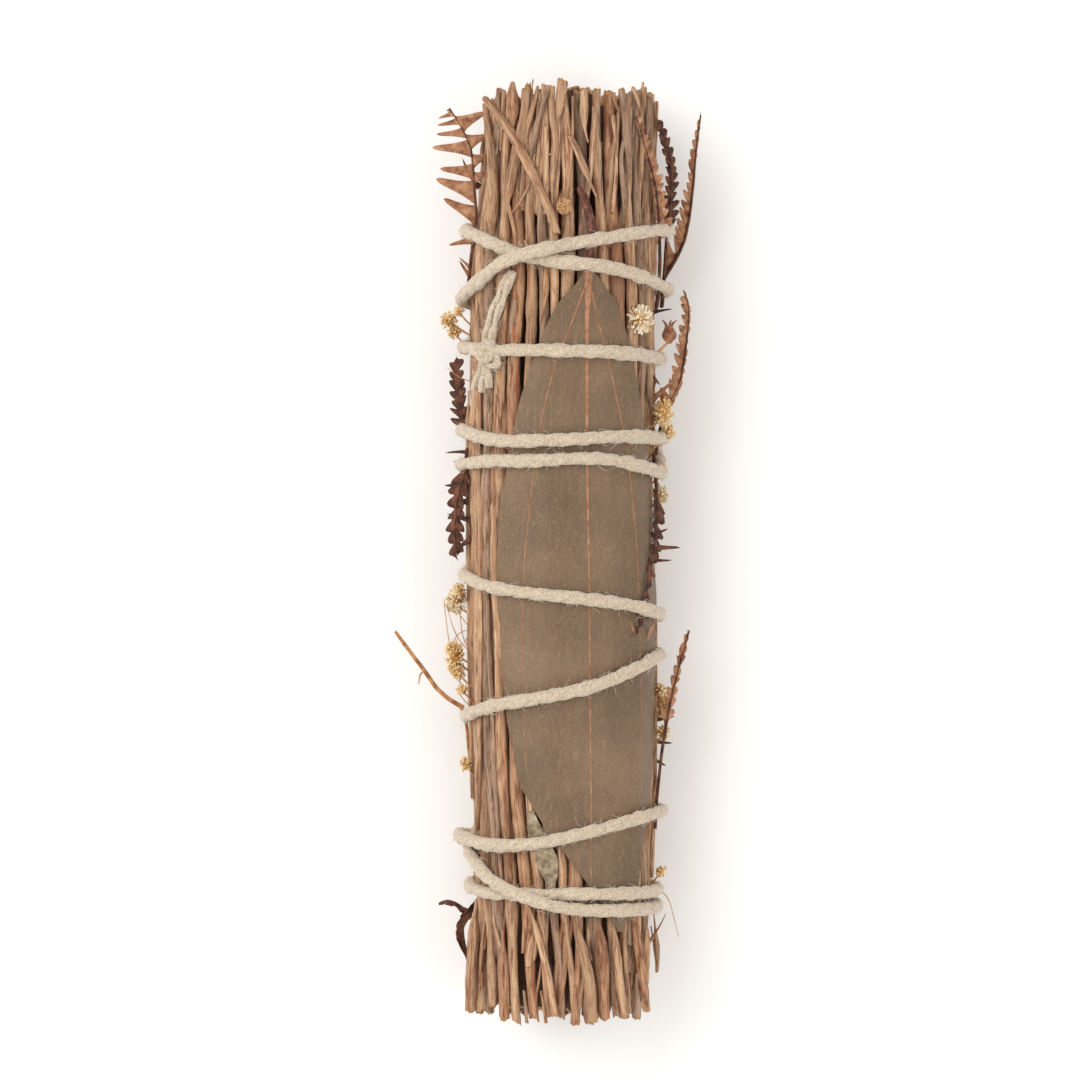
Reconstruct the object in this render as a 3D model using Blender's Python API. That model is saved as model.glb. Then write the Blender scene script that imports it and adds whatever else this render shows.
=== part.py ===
"""A smudge bundle lying on its back: dried twigs, one bay leaf, bits of fern and small
flower heads, wound all round with one cotton string.

The model is worked out in millimetres and scaled to metres when each piece is finished.
X runs across the bundle, Y along it towards the top of the twigs and Z up from the
surface it lies on. The side that is looked at faces +Z."""

import math
import random

import bmesh
import bpy
import numpy as np
from mathutils import Matrix, Vector

# Driving sizes, in millimetres
METRES_PER_MM = 0.001
PIECE_GAP = 0.3
YARN_WIDTH = 2.2
YARN_THICK = 1.9
YARN_SIDES = 6
YARN_STEPS = 28
FLOOR_OF_STEMS = YARN_THICK + PIECE_GAP
MIDDLE_HEIGHT = 15.2
FRONT_RISE = 13.0
BACK_DROP = 14.0
OUTLINE_POWER = 2.2
FLAT_HALF_WIDTH = 6.0
LEAF_THICK = 0.45
FROND_THICK = 0.5

# The left and right edges of the mass of stems along its length: (y, left, right)
STEM_EDGES = (
    (-76.0, -12.7, 15.7),
    (-64.0, -11.6, 16.5),
    (-56.0, -11.5, 17.1),
    (-40.0, -12.1, 17.1),
    (-30.0, -11.9, 16.8),
    (-11.0, -12.6, 17.1),
    (8.2, -12.9, 17.0),
    (24.2, -12.7, 17.0),
    (43.4, -13.0, 17.7),
    (49.8, -12.2, 17.8),
    (64.0, -10.6, 17.3),
    (76.0, -10.0, 17.4),
)

# Stations along the bundle where the stems are packed against each other
STATIONS = (-76.0, -58.0, -38.0, -8.0, 24.0, 46.0, 56.0, 66.0, 76.0)

# Stems of the front row: radius, lower end, upper end, x at each station
FRONT_STEMS = (
    (1.25, -74.0, 68.5, (-12.3, -10.9, -12.0, -13.1, -12.9, -12.6, -11.9, -11.1, -11.0)),
    (1.20, -72.7, 72.6, (-8.8, -8.8, -10.4, -11.3, -11.2, -9.9, -9.0, -9.1, -9.8)),
    (1.10, -74.4, 73.8, (-7.4, -7.4, -8.8, -9.8, -9.3, -7.7, -7.5, -7.4, -7.7)),
    (1.10, -74.9, 73.4, (-5.1, -5.7, -7.0, -8.1, -7.5, -6.4, -5.8, -4.3, -3.2)),
    (1.15, -74.3, 74.1, (-1.1, -3.2, -4.8, -6.1, -5.6, -4.3, -4.3, -5.0, -5.3)),
    (0.85, -74.0, 74.5, (0.9, -1.9, -2.7, -3.3, -2.5, -2.0, -2.9, -3.4, -1.4)),
    (0.80, -74.2, 73.6, (2.8, 2.0, 0.6, 0.1, 0.2, -0.3, -1.6, -2.0, -0.3)),
    (0.75, -74.4, 74.2, (4.2, 3.8, 3.0, 2.6, 2.4, 1.7, 1.0, 0.9, 0.9)),
    (1.05, -75.1, 75.0, (7.0, 5.6, 4.3, 4.3, 3.8, 3.2, 2.7, 2.1, 2.3)),
    (1.40, -74.3, 73.2, (8.8, 7.8, 6.5, 5.9, 5.4, 4.9, 4.6, 3.6, 3.3)),
    (0.95, -74.0, 73.6, (10.4, 10.0, 8.8, 8.4, 7.8, 7.3, 6.9, 6.0, 5.6)),
    (1.40, -74.4, 73.3, (12.8, 11.2, 10.9, 10.9, 10.6, 10.2, 9.5, 8.4, 8.0)),
    (0.95, -73.8, 72.9, (15.5, 13.8, 12.9, 13.1, 12.8, 12.5, 12.2, 10.8, 10.0)),
    (1.00, -69.4, 73.7, (16.4, 15.3, 14.8, 15.0, 14.7, 14.4, 13.6, 12.9, 12.2)),
    (1.05, -67.8, 74.2, (17.0, 16.8, 16.3, 16.5, 16.2, 15.6, 14.9, 14.4, 14.2)),
    (1.30, -70.6, 72.4, (17.4, 17.6, 17.6, 17.5, 17.5, 17.6, 16.9, 16.6, 16.5)),
)

# Stems round the back: radius, lower end, upper end, angle on the outline in degrees
BACK_STEMS = (
    (1.75, -73.2, 72.2, 196.0),
    (1.95, -74.3, 73.6, 211.0),
    (2.05, -73.0, 72.9, 227.0),
    (1.90, -74.6, 74.0, 243.0),
    (2.10, -73.8, 72.4, 258.0),
    (2.00, -74.5, 73.9, 273.0),
    (2.10, -72.8, 73.0, 288.0),
    (1.85, -74.2, 74.3, 303.0),
    (2.05, -73.6, 72.1, 318.0),
    (1.80, -72.6, 73.4, 335.0),
)

# Stems in the middle of the bundle: radius, lower end, upper end, x, z
CORE_STEMS = (
    (2.35, -73.9, 72.5, -3.9, 9.4),
    (2.50, -74.4, 73.7, 2.4, 9.0),
    (2.30, -73.2, 71.6, 8.4, 9.4),
    (2.20, -72.6, 73.2, -8.4, 15.0),
    (2.55, -74.0, 72.0, -2.4, 15.3),
    (2.40, -73.4, 74.0, 3.8, 15.6),
    (2.50, -74.6, 73.0, 9.8, 15.4),
    (2.20, -72.9, 72.7, -3.8, 21.2),
    (2.45, -73.8, 73.9, 2.2, 21.6),
    (2.25, -74.1, 72.2, 8.3, 21.3),
)

# The stem lying aslant over the front row near the top: x, y, radius
SLANTING_STEM = (
    (-10.1, 72.7, 0.50),
    (-8.0, 69.8, 0.60),
    (-5.8, 66.6, 0.65),
    (-3.5, 62.2, 0.70),
    (-1.3, 57.8, 0.70),
    (0.9, 52.6, 0.70),
    (1.4, 50.6, 0.60),
)

# Edges of the bay leaf and its stalk down the bundle: (y, left, right)
BAY_LEAF = (
    (58.0, 4.5, 5.3),
    (54.0, 5.8, 6.9),
    (50.0, 6.3, 7.4),
    (46.5, 6.0, 7.2),
    (44.4, 5.6, 7.6),
    (42.0, 3.6, 9.6),
    (39.0, 1.4, 11.2),
    (35.4, -0.5, 12.5),
    (30.3, -2.6, 13.7),
    (24.2, -4.5, 14.8),
    (17.8, -5.8, 15.8),
    (12.0, -7.0, 16.5),
    (6.0, -7.9, 17.0),
    (0.0, -8.2, 17.3),
    (-8.0, -8.2, 17.4),
    (-17.0, -7.7, 17.3),
    (-25.0, -6.8, 17.2),
    (-32.0, -5.7, 17.0),
    (-37.4, -4.5, 16.7),
    (-41.5, -2.0, 16.2),
    (-45.5, 0.5, 15.5),
    (-49.0, 3.4, 15.0),
    (-53.7, 6.7, 14.5),
    (-57.5, 9.6, 13.0),
    (-60.7, 11.3, 12.1),
)

# Edges of the small grey leaf beside the tip of the bay leaf: (y, left, right)
GREY_LEAF = (
    (-41.2, -3.2, -2.7),
    (-43.4, -3.4, -1.4),
    (-46.0, -3.1, 0.1),
    (-49.0, -2.2, 1.9),
    (-52.0, -0.8, 2.4),
    (-54.6, 0.9, 1.7),
)


def outline_at(y):
    """Centre across and half width of the mass of stems at a place along the bundle."""
    ys = [row[0] for row in STEM_EDGES]
    left = float(np.interp(y, ys, [row[1] for row in STEM_EDGES]))
    right = float(np.interp(y, ys, [row[2] for row in STEM_EDGES]))
    return (left + right) / 2.0, (right - left) / 2.0


def front_row_places(index):
    """Where the front row would lie at a station: kept in order, side by side on the arc."""
    y = STATIONS[index]
    centre, half = outline_at(y)
    angles = []
    for radius, low, high, across in FRONT_STEMS:
        share = (across[index] - centre) / (half - radius)
        share = math.copysign(min(abs(share), 1.0) ** (OUTLINE_POWER / 2.0), share)
        angles.append(math.acos(share))
    for repeat in range(120):
        for k in range(len(angles) - 1):
            need = (FRONT_STEMS[k][0] + FRONT_STEMS[k + 1][0] + PIECE_GAP) / (0.95 * half)
            short = need - (angles[k] - angles[k + 1])
            if short > 0.0:
                angles[k] += short / 2.0
                angles[k + 1] -= short / 2.0
    places = []
    for angle, row in zip(angles, FRONT_STEMS):
        cosine = math.copysign(abs(math.cos(angle)) ** (2.0 / OUTLINE_POWER), math.cos(angle))
        sine = math.copysign(abs(math.sin(angle)) ** (2.0 / OUTLINE_POWER), math.sin(angle))
        places.append((centre + (half - row[0]) * cosine, MIDDLE_HEIGHT + (FRONT_RISE - row[0]) * sine))
    return places


def wished_places(index):
    """Where every stem would lie at a station before they press against each other."""
    y = STATIONS[index]
    centre, half = outline_at(y)
    mid_centre, mid_half = outline_at(STATIONS[3])
    places = front_row_places(index)
    for radius, low, high, angle in BACK_STEMS:
        turn = math.radians(angle + 2.5 * math.sin(0.07 * y + angle))
        x = centre + (half - radius) * math.cos(turn)
        z = MIDDLE_HEIGHT + (BACK_DROP - radius) * math.sin(turn)
        places.append((x, max(z, FLOOR_OF_STEMS + radius)))
    for radius, low, high, x, z in CORE_STEMS:
        drift = 0.5 * math.sin(0.05 * y + x)
        places.append((centre + (x - mid_centre) * half / mid_half + drift, z))
    return np.array(places)


def keep_inside(places, radii, y):
    """Brings stems that stick out of the bundle's outline back to its edge."""
    centre, half = outline_at(y)
    drop = np.where(places[:, 1] > MIDDLE_HEIGHT, FRONT_RISE, BACK_DROP)
    across = (places[:, 0] - centre) / (half - radii)
    up = (places[:, 1] - MIDDLE_HEIGHT) / (drop - radii)
    size = (np.abs(across) ** OUTLINE_POWER + np.abs(up) ** OUTLINE_POWER) ** (1.0 / OUTLINE_POWER)
    scale = 1.0 / np.maximum(size, 1.0)
    places[:, 0] = centre + (places[:, 0] - centre) * scale
    places[:, 1] = MIDDLE_HEIGHT + (places[:, 1] - MIDDLE_HEIGHT) * scale
    places[:, 1] = np.maximum(places[:, 1], FLOOR_OF_STEMS + radii)


def press_together(places, radii, wished, y):
    """Pushes stems apart until none overlaps its neighbours."""
    need = radii[:, None] + radii[None, :] + PIECE_GAP + 0.06
    for step in range(420):
        offset = places[:, None, :] - places[None, :, :]
        distance = np.sqrt((offset ** 2).sum(axis=2)) + np.eye(len(radii)) * 99.0
        push = np.maximum(need - distance, 0.0)
        move = (offset / distance[:, :, None] * push[:, :, None]).sum(axis=1) * 0.42
        pull = 0.03 if step < 260 else 0.0
        places = places + move + (wished - places) * pull
        keep_inside(places, radii, y)
    return places


def pack_stems():
    """Packs the stems at every station; gives places and radii by station and stem."""
    base = [row[0] for row in FRONT_STEMS + BACK_STEMS + CORE_STEMS]
    wished = [wished_places(index) for index in range(len(STATIONS))]
    middle = 3
    places = {}
    radii = {}
    order = [middle] + list(range(middle + 1, len(STATIONS))) + list(range(middle - 1, -1, -1))
    for index in order:
        y = STATIONS[index]
        wave = [1.0 + 0.05 * math.sin(0.09 * y + 2.1 * k) for k in range(len(base))]
        size = np.array(base) * np.array(wave)
        if index == middle:
            start = wished[index]
        else:
            before = index - 1 if index > middle else index + 1
            start = places[before] + wished[index] - wished[before]
        found = press_together(start.copy(), size, wished[index], y)
        offset = found[:, None, :] - found[None, :, :]
        distance = np.sqrt((offset ** 2).sum(axis=2)) + np.eye(len(size)) * 99.0
        room = (distance - PIECE_GAP) / (size[:, None] + size[None, :])
        places[index] = found
        radii[index] = size * np.minimum(room.min(axis=1), 1.0)
    track = np.array([places[k] for k in range(len(STATIONS))])
    sizes = np.array([radii[k] for k in range(len(STATIONS))])
    thin_between_stations(track, sizes)
    return track, sizes


def thin_between_stations(track, sizes):
    """Thins stems that come too close to a neighbour on the way between two stations."""
    for index in range(len(STATIONS) - 1):
        for share in (0.2, 0.35, 0.5, 0.65, 0.8):
            found = track[index] * (1.0 - share) + track[index + 1] * share
            size = sizes[index] * (1.0 - share) + sizes[index + 1] * share
            offset = found[:, None, :] - found[None, :, :]
            distance = np.sqrt((offset ** 2).sum(axis=2)) + np.eye(len(size)) * 99.0
            room = (distance - PIECE_GAP) / (size[:, None] + size[None, :])
            fit = np.minimum(room.min(axis=1), 1.0)
            sizes[index] *= fit
            sizes[index + 1] *= fit


def stem_at(track, sizes, stem, y):
    """Centre and radius of one packed stem at a place along the bundle."""
    x = float(np.interp(y, STATIONS, track[:, stem, 0]))
    z = float(np.interp(y, STATIONS, track[:, stem, 1]))
    return x, z, float(np.interp(y, STATIONS, sizes[:, stem]))


# Girth of what lies inside the string, measured in many directions round the bundle
DIRECTIONS = np.radians(np.arange(0.0, 360.0, 3.75))
NORMALS = np.stack([np.cos(DIRECTIONS), np.sin(DIRECTIONS)], axis=1)
GIRTH_STEP = 1.0
GIRTH_ROWS = np.arange(-78.0, 78.5, GIRTH_STEP)
girth = np.full((len(GIRTH_ROWS), len(DIRECTIONS)), -99.0)


def girth_centre(y):
    """The middle of the bundle that its girth is measured from."""
    return np.array([outline_at(y)[0], MIDDLE_HEIGHT])


def add_to_girth(points, reach_along):
    """Takes points (x, y, z) into the girth of the rows near them."""
    points = np.asarray(points, dtype=float)
    for row, y in enumerate(GIRTH_ROWS):
        near = points[np.abs(points[:, 1] - y) <= reach_along]
        if len(near) == 0:
            continue
        flat = near[:, (0, 2)] - girth_centre(y)
        girth[row] = np.maximum(girth[row], (flat @ NORMALS.T).max(axis=0))


def girth_at(y):
    """Girth in every direction at y, from the rows on both sides."""
    place = (y - GIRTH_ROWS[0]) / GIRTH_STEP
    low = int(min(max(math.floor(place), 0), len(GIRTH_ROWS) - 2))
    share = min(max(place - low, 0.0), 1.0)
    return girth[low] * (1.0 - share) + girth[low + 1] * share


def reach(y, angle, extra):
    """Distance from the middle to the taut skin over the bundle, and its outward direction."""
    cosine = np.cos(DIRECTIONS - angle)
    ahead = cosine > 0.05
    lengths = (girth_at(y)[ahead] + extra) / cosine[ahead]
    best = int(np.argmin(lengths))
    return float(lengths[best]), float(DIRECTIONS[ahead][best])


def skin_height(x, y, extra):
    """Height of the taut skin over x on the front of the bundle."""
    centre = girth_centre(y)
    up = NORMALS[:, 1] > 0.12
    heights = (girth_at(y)[up] + extra - (x - centre[0]) * NORMALS[up, 0]) / NORMALS[up, 1]
    return float(heights.min() + centre[1])


def clear_of_bundle(point, extra):
    """Moves a point outwards until it is clear of the skin over the bundle."""
    x, y, z = point
    centre = girth_centre(y)
    out = np.array([x, z]) - centre
    distance = float(np.hypot(out[0], out[1]))
    needed = reach(y, math.atan2(out[1], out[0]), extra)[0]
    if distance < needed:
        out = out * needed / distance
    return centre[0] + float(out[0]), y, centre[1] + float(out[1])


def finish(name, mesh_data, material, smooth_angle):
    """Turns finished modelling data, in millimetres, into a named object in metres."""
    bmesh.ops.recalc_face_normals(mesh_data, faces=mesh_data.faces)
    if mesh_data.calc_volume(signed=True) < 0.0:
        bmesh.ops.reverse_faces(mesh_data, faces=mesh_data.faces)
    bmesh.ops.scale(mesh_data, vec=Vector((1, 1, 1)) * METRES_PER_MM, verts=mesh_data.verts)
    mesh = bpy.data.meshes.new(name)
    mesh_data.to_mesh(mesh)
    mesh_data.free()
    for face in mesh.polygons:
        face.use_smooth = True
    mesh.set_sharp_from_angle(angle=math.radians(smooth_angle))
    mesh.materials.append(material)
    item = bpy.data.objects.new(name, mesh)
    bpy.context.scene.collection.objects.link(item)
    return item


def ring_matrix(centre, across, out, along):
    """Places a unit circle: its two radii as vectors, its middle and its axis."""
    columns = (across, out, along)
    matrix = Matrix.Identity(4)
    for column, vector in enumerate(columns):
        for row in range(3):
            matrix[row][column] = vector[row]
    for row in range(3):
        matrix[row][3] = centre[row]
    return matrix


def sweep(places, sides):
    """A closed tube through placed circles, as modelling data."""
    tube = bmesh.new()
    bmesh.ops.create_circle(tube, segments=sides, radius=1.0)
    bmesh.ops.rotate(tube, verts=tube.verts, matrix=Matrix.Rotation(math.pi / sides, 3, "Z"))
    bmesh.ops.transform(tube, matrix=places[0], verts=tube.verts)
    first = list(tube.edges)
    ring = first
    for before, after in zip(places, places[1:]):
        made = bmesh.ops.extrude_edge_only(tube, edges=ring)["geom"]
        corners = [part for part in made if isinstance(part, bmesh.types.BMVert)]
        ring = [
            part for part in made
            if isinstance(part, bmesh.types.BMEdge)
            and part.verts[0] in corners
            and part.verts[1] in corners
        ]
        bmesh.ops.transform(tube, matrix=after @ before.inverted(), verts=corners)
    bmesh.ops.contextual_create(tube, geom=first)
    bmesh.ops.contextual_create(tube, geom=ring)
    return tube


def stem_rings(centres, sizes, slant):
    """Circles across the bundle for a stem, its two ends cut aslant."""
    rings = []
    for index, (centre, size) in enumerate(zip(centres, sizes)):
        lean = slant if index in (0, len(centres) - 1) else 0.0
        across = Vector((size, lean * size, 0.0))
        rings.append(ring_matrix(centre, across, Vector((0, 0, size)), Vector((0, -1, 0))))
    return rings


def make_stem(name, track, sizes, stem, low, high, sides, material):
    """One packed stem from its lower cut to its upper cut."""
    stations = [low] + [y for y in STATIONS if low + 4.0 < y < high - 4.0] + [high]
    centres = []
    radii = []
    for y in stations:
        x, z, radius = stem_at(track, sizes, stem, y)
        centres.append((x, y, z))
        radii.append(radius)
    slant = random.uniform(-0.45, 0.45)
    return finish(name, sweep(stem_rings(centres, radii, slant), sides), material, 50.0)


def sheet(rows, columns, place, thickness):
    """A thin sheet: place(u, v) gives each point for u, v from 0 to 1."""
    data = bmesh.new()
    bmesh.ops.create_grid(data, x_segments=columns, y_segments=rows, size=0.5)
    for corner in data.verts:
        corner.co = Vector(place(corner.co.y + 0.5, corner.co.x + 0.5))
    bmesh.ops.recalc_face_normals(data, faces=data.faces)
    bmesh.ops.solidify(data, geom=data.faces[:], thickness=thickness)
    return data


def leaf_sheet(edges, columns, rise, bulge):
    """A leaf lying over the front of the bundle, from its edges at places down its length."""
    ys = [row[0] for row in edges]

    def place(u, v):
        index = u * (len(edges) - 1)
        y = float(np.interp(index, range(len(edges)), ys))
        left = float(np.interp(index, range(len(edges)), [row[1] for row in edges]))
        right = float(np.interp(index, range(len(edges)), [row[2] for row in edges]))
        x = left + (right - left) * v
        limit = outline_at(y)
        x = min(x, limit[0] + limit[1] - 0.25)
        lift = bulge * math.sin(math.pi * v) * abs(math.sin(y / 7.5))
        return x, y, skin_height(x, y, rise) + lift

    return sheet(len(edges) - 1, columns, place, LEAF_THICK)


def along_path(path, share):
    """A point and the direction at a share of a path's length."""
    points = [Vector(point) for point in path]
    lengths = [(b - a).length for a, b in zip(points, points[1:])]
    target = share * sum(lengths)
    for index, length in enumerate(lengths):
        if target <= length or index == len(lengths) - 1:
            part = target / length
            direction = points[index + 1] - points[index]
            return points[index].lerp(points[index + 1], part), direction.normalized()
        target -= length
    return points[-1], (points[-1] - points[-2]).normalized()


def frond(name, path, facing, stalk, pairs, rib, left, right, lean, curl, material):
    """A fern bit: a rib with a row of lobes down each side, fused, and one thickness.

    stalk is the bare share at the foot; left and right are the lobes' lengths; facing
    turns the flat of it about the bundle's length, and lean points the lobes forward."""
    total = sum((Vector(b) - Vector(a)).length for a, b in zip(path, path[1:]))
    data = bmesh.new()
    steps = 2 * pairs + 1
    bmesh.ops.create_grid(data, x_segments=1, y_segments=steps, size=0.5)
    pitch = (1.0 - stalk) / pairs
    flat = {}
    for corner in data.verts:
        index = round((corner.co.y + 0.5) * steps)
        side = -1.0 if corner.co.x < 0 else 1.0
        lobe = (index - 1) // 2
        share = 0.0 if index == 0 else stalk + pitch * (lobe + (0.72 if index % 2 == 0 else 0.0))
        share = min(share, 1.0)
        flat[corner] = (share, side * rib * (1.0 - 0.6 * share) / 2.0, index)
    sides = [edge for edge in data.edges if edge.is_boundary]
    for edge in sides:
        indices = sorted(flat[corner][2] for corner in edge.verts)
        if indices[0] == indices[1] or indices[0] % 2 == 0:
            continue
        lobe = (indices[0] - 1) // 2
        direction = -1.0 if flat[edge.verts[0]][1] < 0 else 1.0
        shape = math.sin(math.pi * (0.25 + 0.72 * lobe / pairs)) ** 0.8
        length = (left if direction < 0 else right) * shape * random.uniform(0.85, 1.1)
        made = bmesh.ops.extrude_edge_only(data, edges=[edge])["geom"]
        corners = [part for part in made if isinstance(part, bmesh.types.BMVert)]
        old = {tuple(corner.co): flat[corner] for corner in edge.verts}
        middle = sum(flat[corner][0] for corner in edge.verts) / 2.0
        for corner in corners:
            share, side, index = old[tuple(corner.co)]
            tip = middle + lean * length / total + (share - middle) * 0.35
            flat[corner] = (tip, side + direction * length, -1)
    for corner, (share, side, index) in flat.items():
        turned = min(share / stalk, 1.0) ** 1.5
        turn = math.radians(math.copysign(80.0, facing) * (1.0 - turned) + facing * turned)
        face = Vector((math.sin(turn), 0.0, math.cos(turn)))
        point, direction = along_path(path, min(share, 1.0))
        point = point + direction * max(share - 1.0, 0.0) * total
        across = face.cross(direction).normalized() * -1.0
        point = point + across * side - face * curl * side * side / 6.0
        corner.co = Vector(clear_of_bundle(point, PIECE_GAP + FROND_THICK + 0.15))
    bmesh.ops.recalc_face_normals(data, faces=data.faces)
    bmesh.ops.solidify(data, geom=data.faces[:], thickness=FROND_THICK)
    return finish(name, data, material, 40.0)


def flower_head(name, centre, radii, material):
    """A dry flower head: a lumpy ball standing just clear of the bundle."""
    data = bmesh.new()
    bmesh.ops.create_icosphere(data, subdivisions=2, radius=1.0)
    for corner in data.verts:
        corner.co *= random.uniform(0.93, 1.0)
    clear = clear_of_bundle(centre, PIECE_GAP + min(radii) + 0.1)
    bmesh.ops.scale(data, vec=Vector(radii), verts=data.verts)
    bmesh.ops.translate(data, vec=Vector(clear), verts=data.verts)
    return finish(name, data, material, 60.0)


def make_material(name, colour, roughness):
    """A plain matt material; colour is given as sRGB hexadecimal."""
    material = bpy.data.materials.new(name)
    material.use_nodes = True
    shader = material.node_tree.nodes["Principled BSDF"]
    channels = [int(colour[k:k + 2], 16) / 255.0 for k in (1, 3, 5)]
    linear = [c / 12.92 if c <= 0.04045 else ((c + 0.055) / 1.055) ** 2.4 for c in channels]
    shader.inputs["Base Color"].default_value = (*linear, 1.0)
    shader.inputs["Roughness"].default_value = roughness
    shader.inputs["Metallic"].default_value = 0.0
    material.diffuse_color = (*linear, 1.0)
    return material


# Fern bits: name, tone, rib (x, y, z), turn of the flat, bare share, pairs of lobes,
# rib width, left and right lobe lengths, forward lean and curl
FRONDS = (
    (
        "fern_top_left", "brown",
        (
            (-12.6, 40.6, 17.5), (-12.4, 47.0, 19.0), (-12.1, 52.0, 20.4), (-12.5, 57.8, 20.6),
            (-13.2, 61.8, 20.2), (-14.2, 65.4, 19.6), (-15.2, 68.2, 19.0), (-16.3, 70.6, 18.4),
        ),
        -20.0, 0.40, 8, 0.9, 4.6, 3.4, 0.25, 0.35,
    ),
    (
        "fern_top_right_near", "brown",
        (
            (17.4, 39.5, 18.5), (18.0, 46.0, 19.5), (17.9, 52.0, 20.5), (17.4, 57.8, 21.5),
            (16.5, 61.8, 22.3), (15.2, 65.4, 23.2), (13.8, 69.5, 24.4),
        ),
        30.0, 0.46, 6, 1.2, 0.9, 1.6, 0.3, 0.3,
    ),
    (
        "fern_top_right_dark", "dark",
        (
            (18.4, 39.5, 13.5), (18.9, 46.0, 14.5), (19.2, 52.0, 15.5), (19.9, 57.0, 16.3),
            (19.9, 62.6, 17.0), (19.0, 66.2, 17.4), (17.7, 69.4, 17.8),
        ),
        35.0, 0.46, 6, 1.0, 1.2, 1.5, 0.3, 0.3,
    ),
    (
        "fern_top_right_tall", "brown",
        (
            (17.4, 39.0, 10.4), (17.9, 41.5, 10.6), (18.7, 44.2, 11.0), (20.8, 47.4, 11.5),
            (22.2, 50.4, 11.9), (23.0, 54.6, 12.5), (23.5, 59.0, 13.1), (23.8, 63.0, 13.7),
            (24.2, 67.0, 14.2), (24.7, 70.4, 14.6),
        ),
        10.0, 0.45, 9, 1.1, 2.4, 0.5, 0.5, 0.2,
    ),
    (
        "fern_middle_right_arc", "brown",
        (
            (17.2, 15.6, 16.0), (17.8, 19.0, 16.4), (19.0, 22.4, 16.4), (21.2, 26.6, 16.2),
            (22.0, 31.0, 16.0), (22.6, 35.6, 15.8), (22.8, 39.4, 15.6), (22.0, 42.0, 15.4),
        ),
        15.0, 0.36, 7, 0.9, 1.6, 0.6, 0.2, 0.2,
    ),
    (
        "fern_over_leaf_edge", "dark",
        (
            (17.0, 15.6, 19.0), (17.4, 11.0, 19.6), (17.6, 6.0, 20.0), (17.2, 1.0, 20.6),
            (16.3, -4.0, 22.0), (15.2, -9.0, 23.6), (14.3, -13.0, 24.6),
        ),
        40.0, 0.24, 6, 1.0, 1.9, 0.5, 0.3, 0.2,
    ),
    (
        "fern_lower_right", "brown",
        (
            (17.2, -44.6, 17.5), (17.6, -39.0, 17.0), (18.4, -32.0, 16.6), (19.6, -25.0, 16.4),
            (20.8, -20.0, 16.2), (21.9, -16.0, 16.0), (22.8, -12.8, 15.8),
        ),
        15.0, 0.55, 5, 1.1, 1.3, 1.2, 0.5, 0.2,
    ),
    (
        "fern_left_upper", "dark",
        (
            (-12.8, 17.0, 10.5), (-13.4, 20.0, 11.0), (-14.4, 24.0, 11.8),
            (-14.9, 27.6, 12.4), (-15.0, 31.0, 13.0),
        ),
        -25.0, 0.36, 5, 0.9, 1.9, 0.6, 0.3, 0.3,
    ),
    (
        "fern_left_lower", "dark",
        (
            (-13.0, 16.6, 18.0), (-13.6, 12.0, 17.6), (-14.8, 8.0, 17.0),
            (-15.1, 3.6, 16.4), (-14.8, -0.8, 16.0),
        ),
        -25.0, 0.30, 5, 0.9, 0.6, 2.2, 0.2, 0.3,
    ),
    (
        "fern_bottom_left", "dark",
        (
            (-11.6, -51.0, 14.5), (-12.0, -55.0, 14.5), (-13.6, -59.6, 14.0),
            (-13.9, -63.0, 13.6), (-12.8, -68.4, 13.0),
        ),
        -20.0, 0.34, 4, 1.0, 0.8, 2.8, -0.5, 0.3,
    ),
)

# Flower heads and one dry capsule: name, tone, centre and half sizes
FLOWER_HEADS = (
    ("flower_head_1", "straw", (-16.0, 37.4, 15.5), (1.1, 1.1, 1.1)),
    ("flower_head_2", "cream", (14.4, 37.2, 24.0), (1.8, 2.0, 1.3)),
    ("flower_head_3", "straw", (18.6, 22.4, 18.8), (1.3, 2.2, 1.4)),
    ("flower_head_4", "cream", (18.2, 9.2, 14.0), (1.2, 1.5, 1.2)),
    ("flower_head_5", "cream", (-14.9, -8.0, 15.0), (1.6, 1.9, 1.4)),
    ("flower_head_6", "straw", (-15.0, -17.2, 15.5), (1.3, 2.6, 1.3)),
    ("flower_head_7", "straw", (18.4, -24.4, 12.5), (1.2, 1.6, 1.2)),
    ("dry_capsule", "dark", (19.4, 34.9, 20.5), (1.1, 1.3, 1.1)),
)

# The bent sprig on the left: x, y, z and radius, with the short thread at its joint
SPRIG_STEM = (
    (-12.2, -38.0, 12.0, 0.34),
    (-12.8, -32.0, 12.0, 0.34),
    (-13.2, -28.0, 12.2, 0.33),
    (-13.8, -25.4, 12.5, 0.33),
    (-16.2, -24.0, 12.9, 0.32),
    (-18.2, -22.2, 13.2, 0.31),
    (-20.2, -19.2, 13.6, 0.32),
    (-21.9, -17.0, 13.9, 0.27),
    (-24.7, -13.1, 14.4, 0.20),
)
SPRIG_FORK = (
    (-20.1, -19.3, 13.6, 0.22),
    (-20.7, -20.0, 13.7, 0.17),
    (-20.9, -21.4, 13.8, 0.12),
)

# Loose ends of the yarn at the knot: places x, y, lift, widths and thicknesses
YARN_ENDS = (
    (
        ((-9.9, 32.0), (-9.9, 35.2), (-9.0, 38.0), (-7.8, 40.8), (-6.6, 43.0), (-5.9, 44.6)),
        0.1, (2.0, 2.2, 2.4, 2.4, 2.3, 1.9), (1.6, 1.6, 1.6, 1.6, 1.5, 1.3),
    ),
    (
        ((-9.9, 31.8), (-10.4, 29.2), (-10.7, 27.6), (-10.9, 25.9)),
        0.1, (2.0, 2.3, 2.8, 3.0), (1.5, 1.5, 1.3, 1.1),
    ),
)


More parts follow.
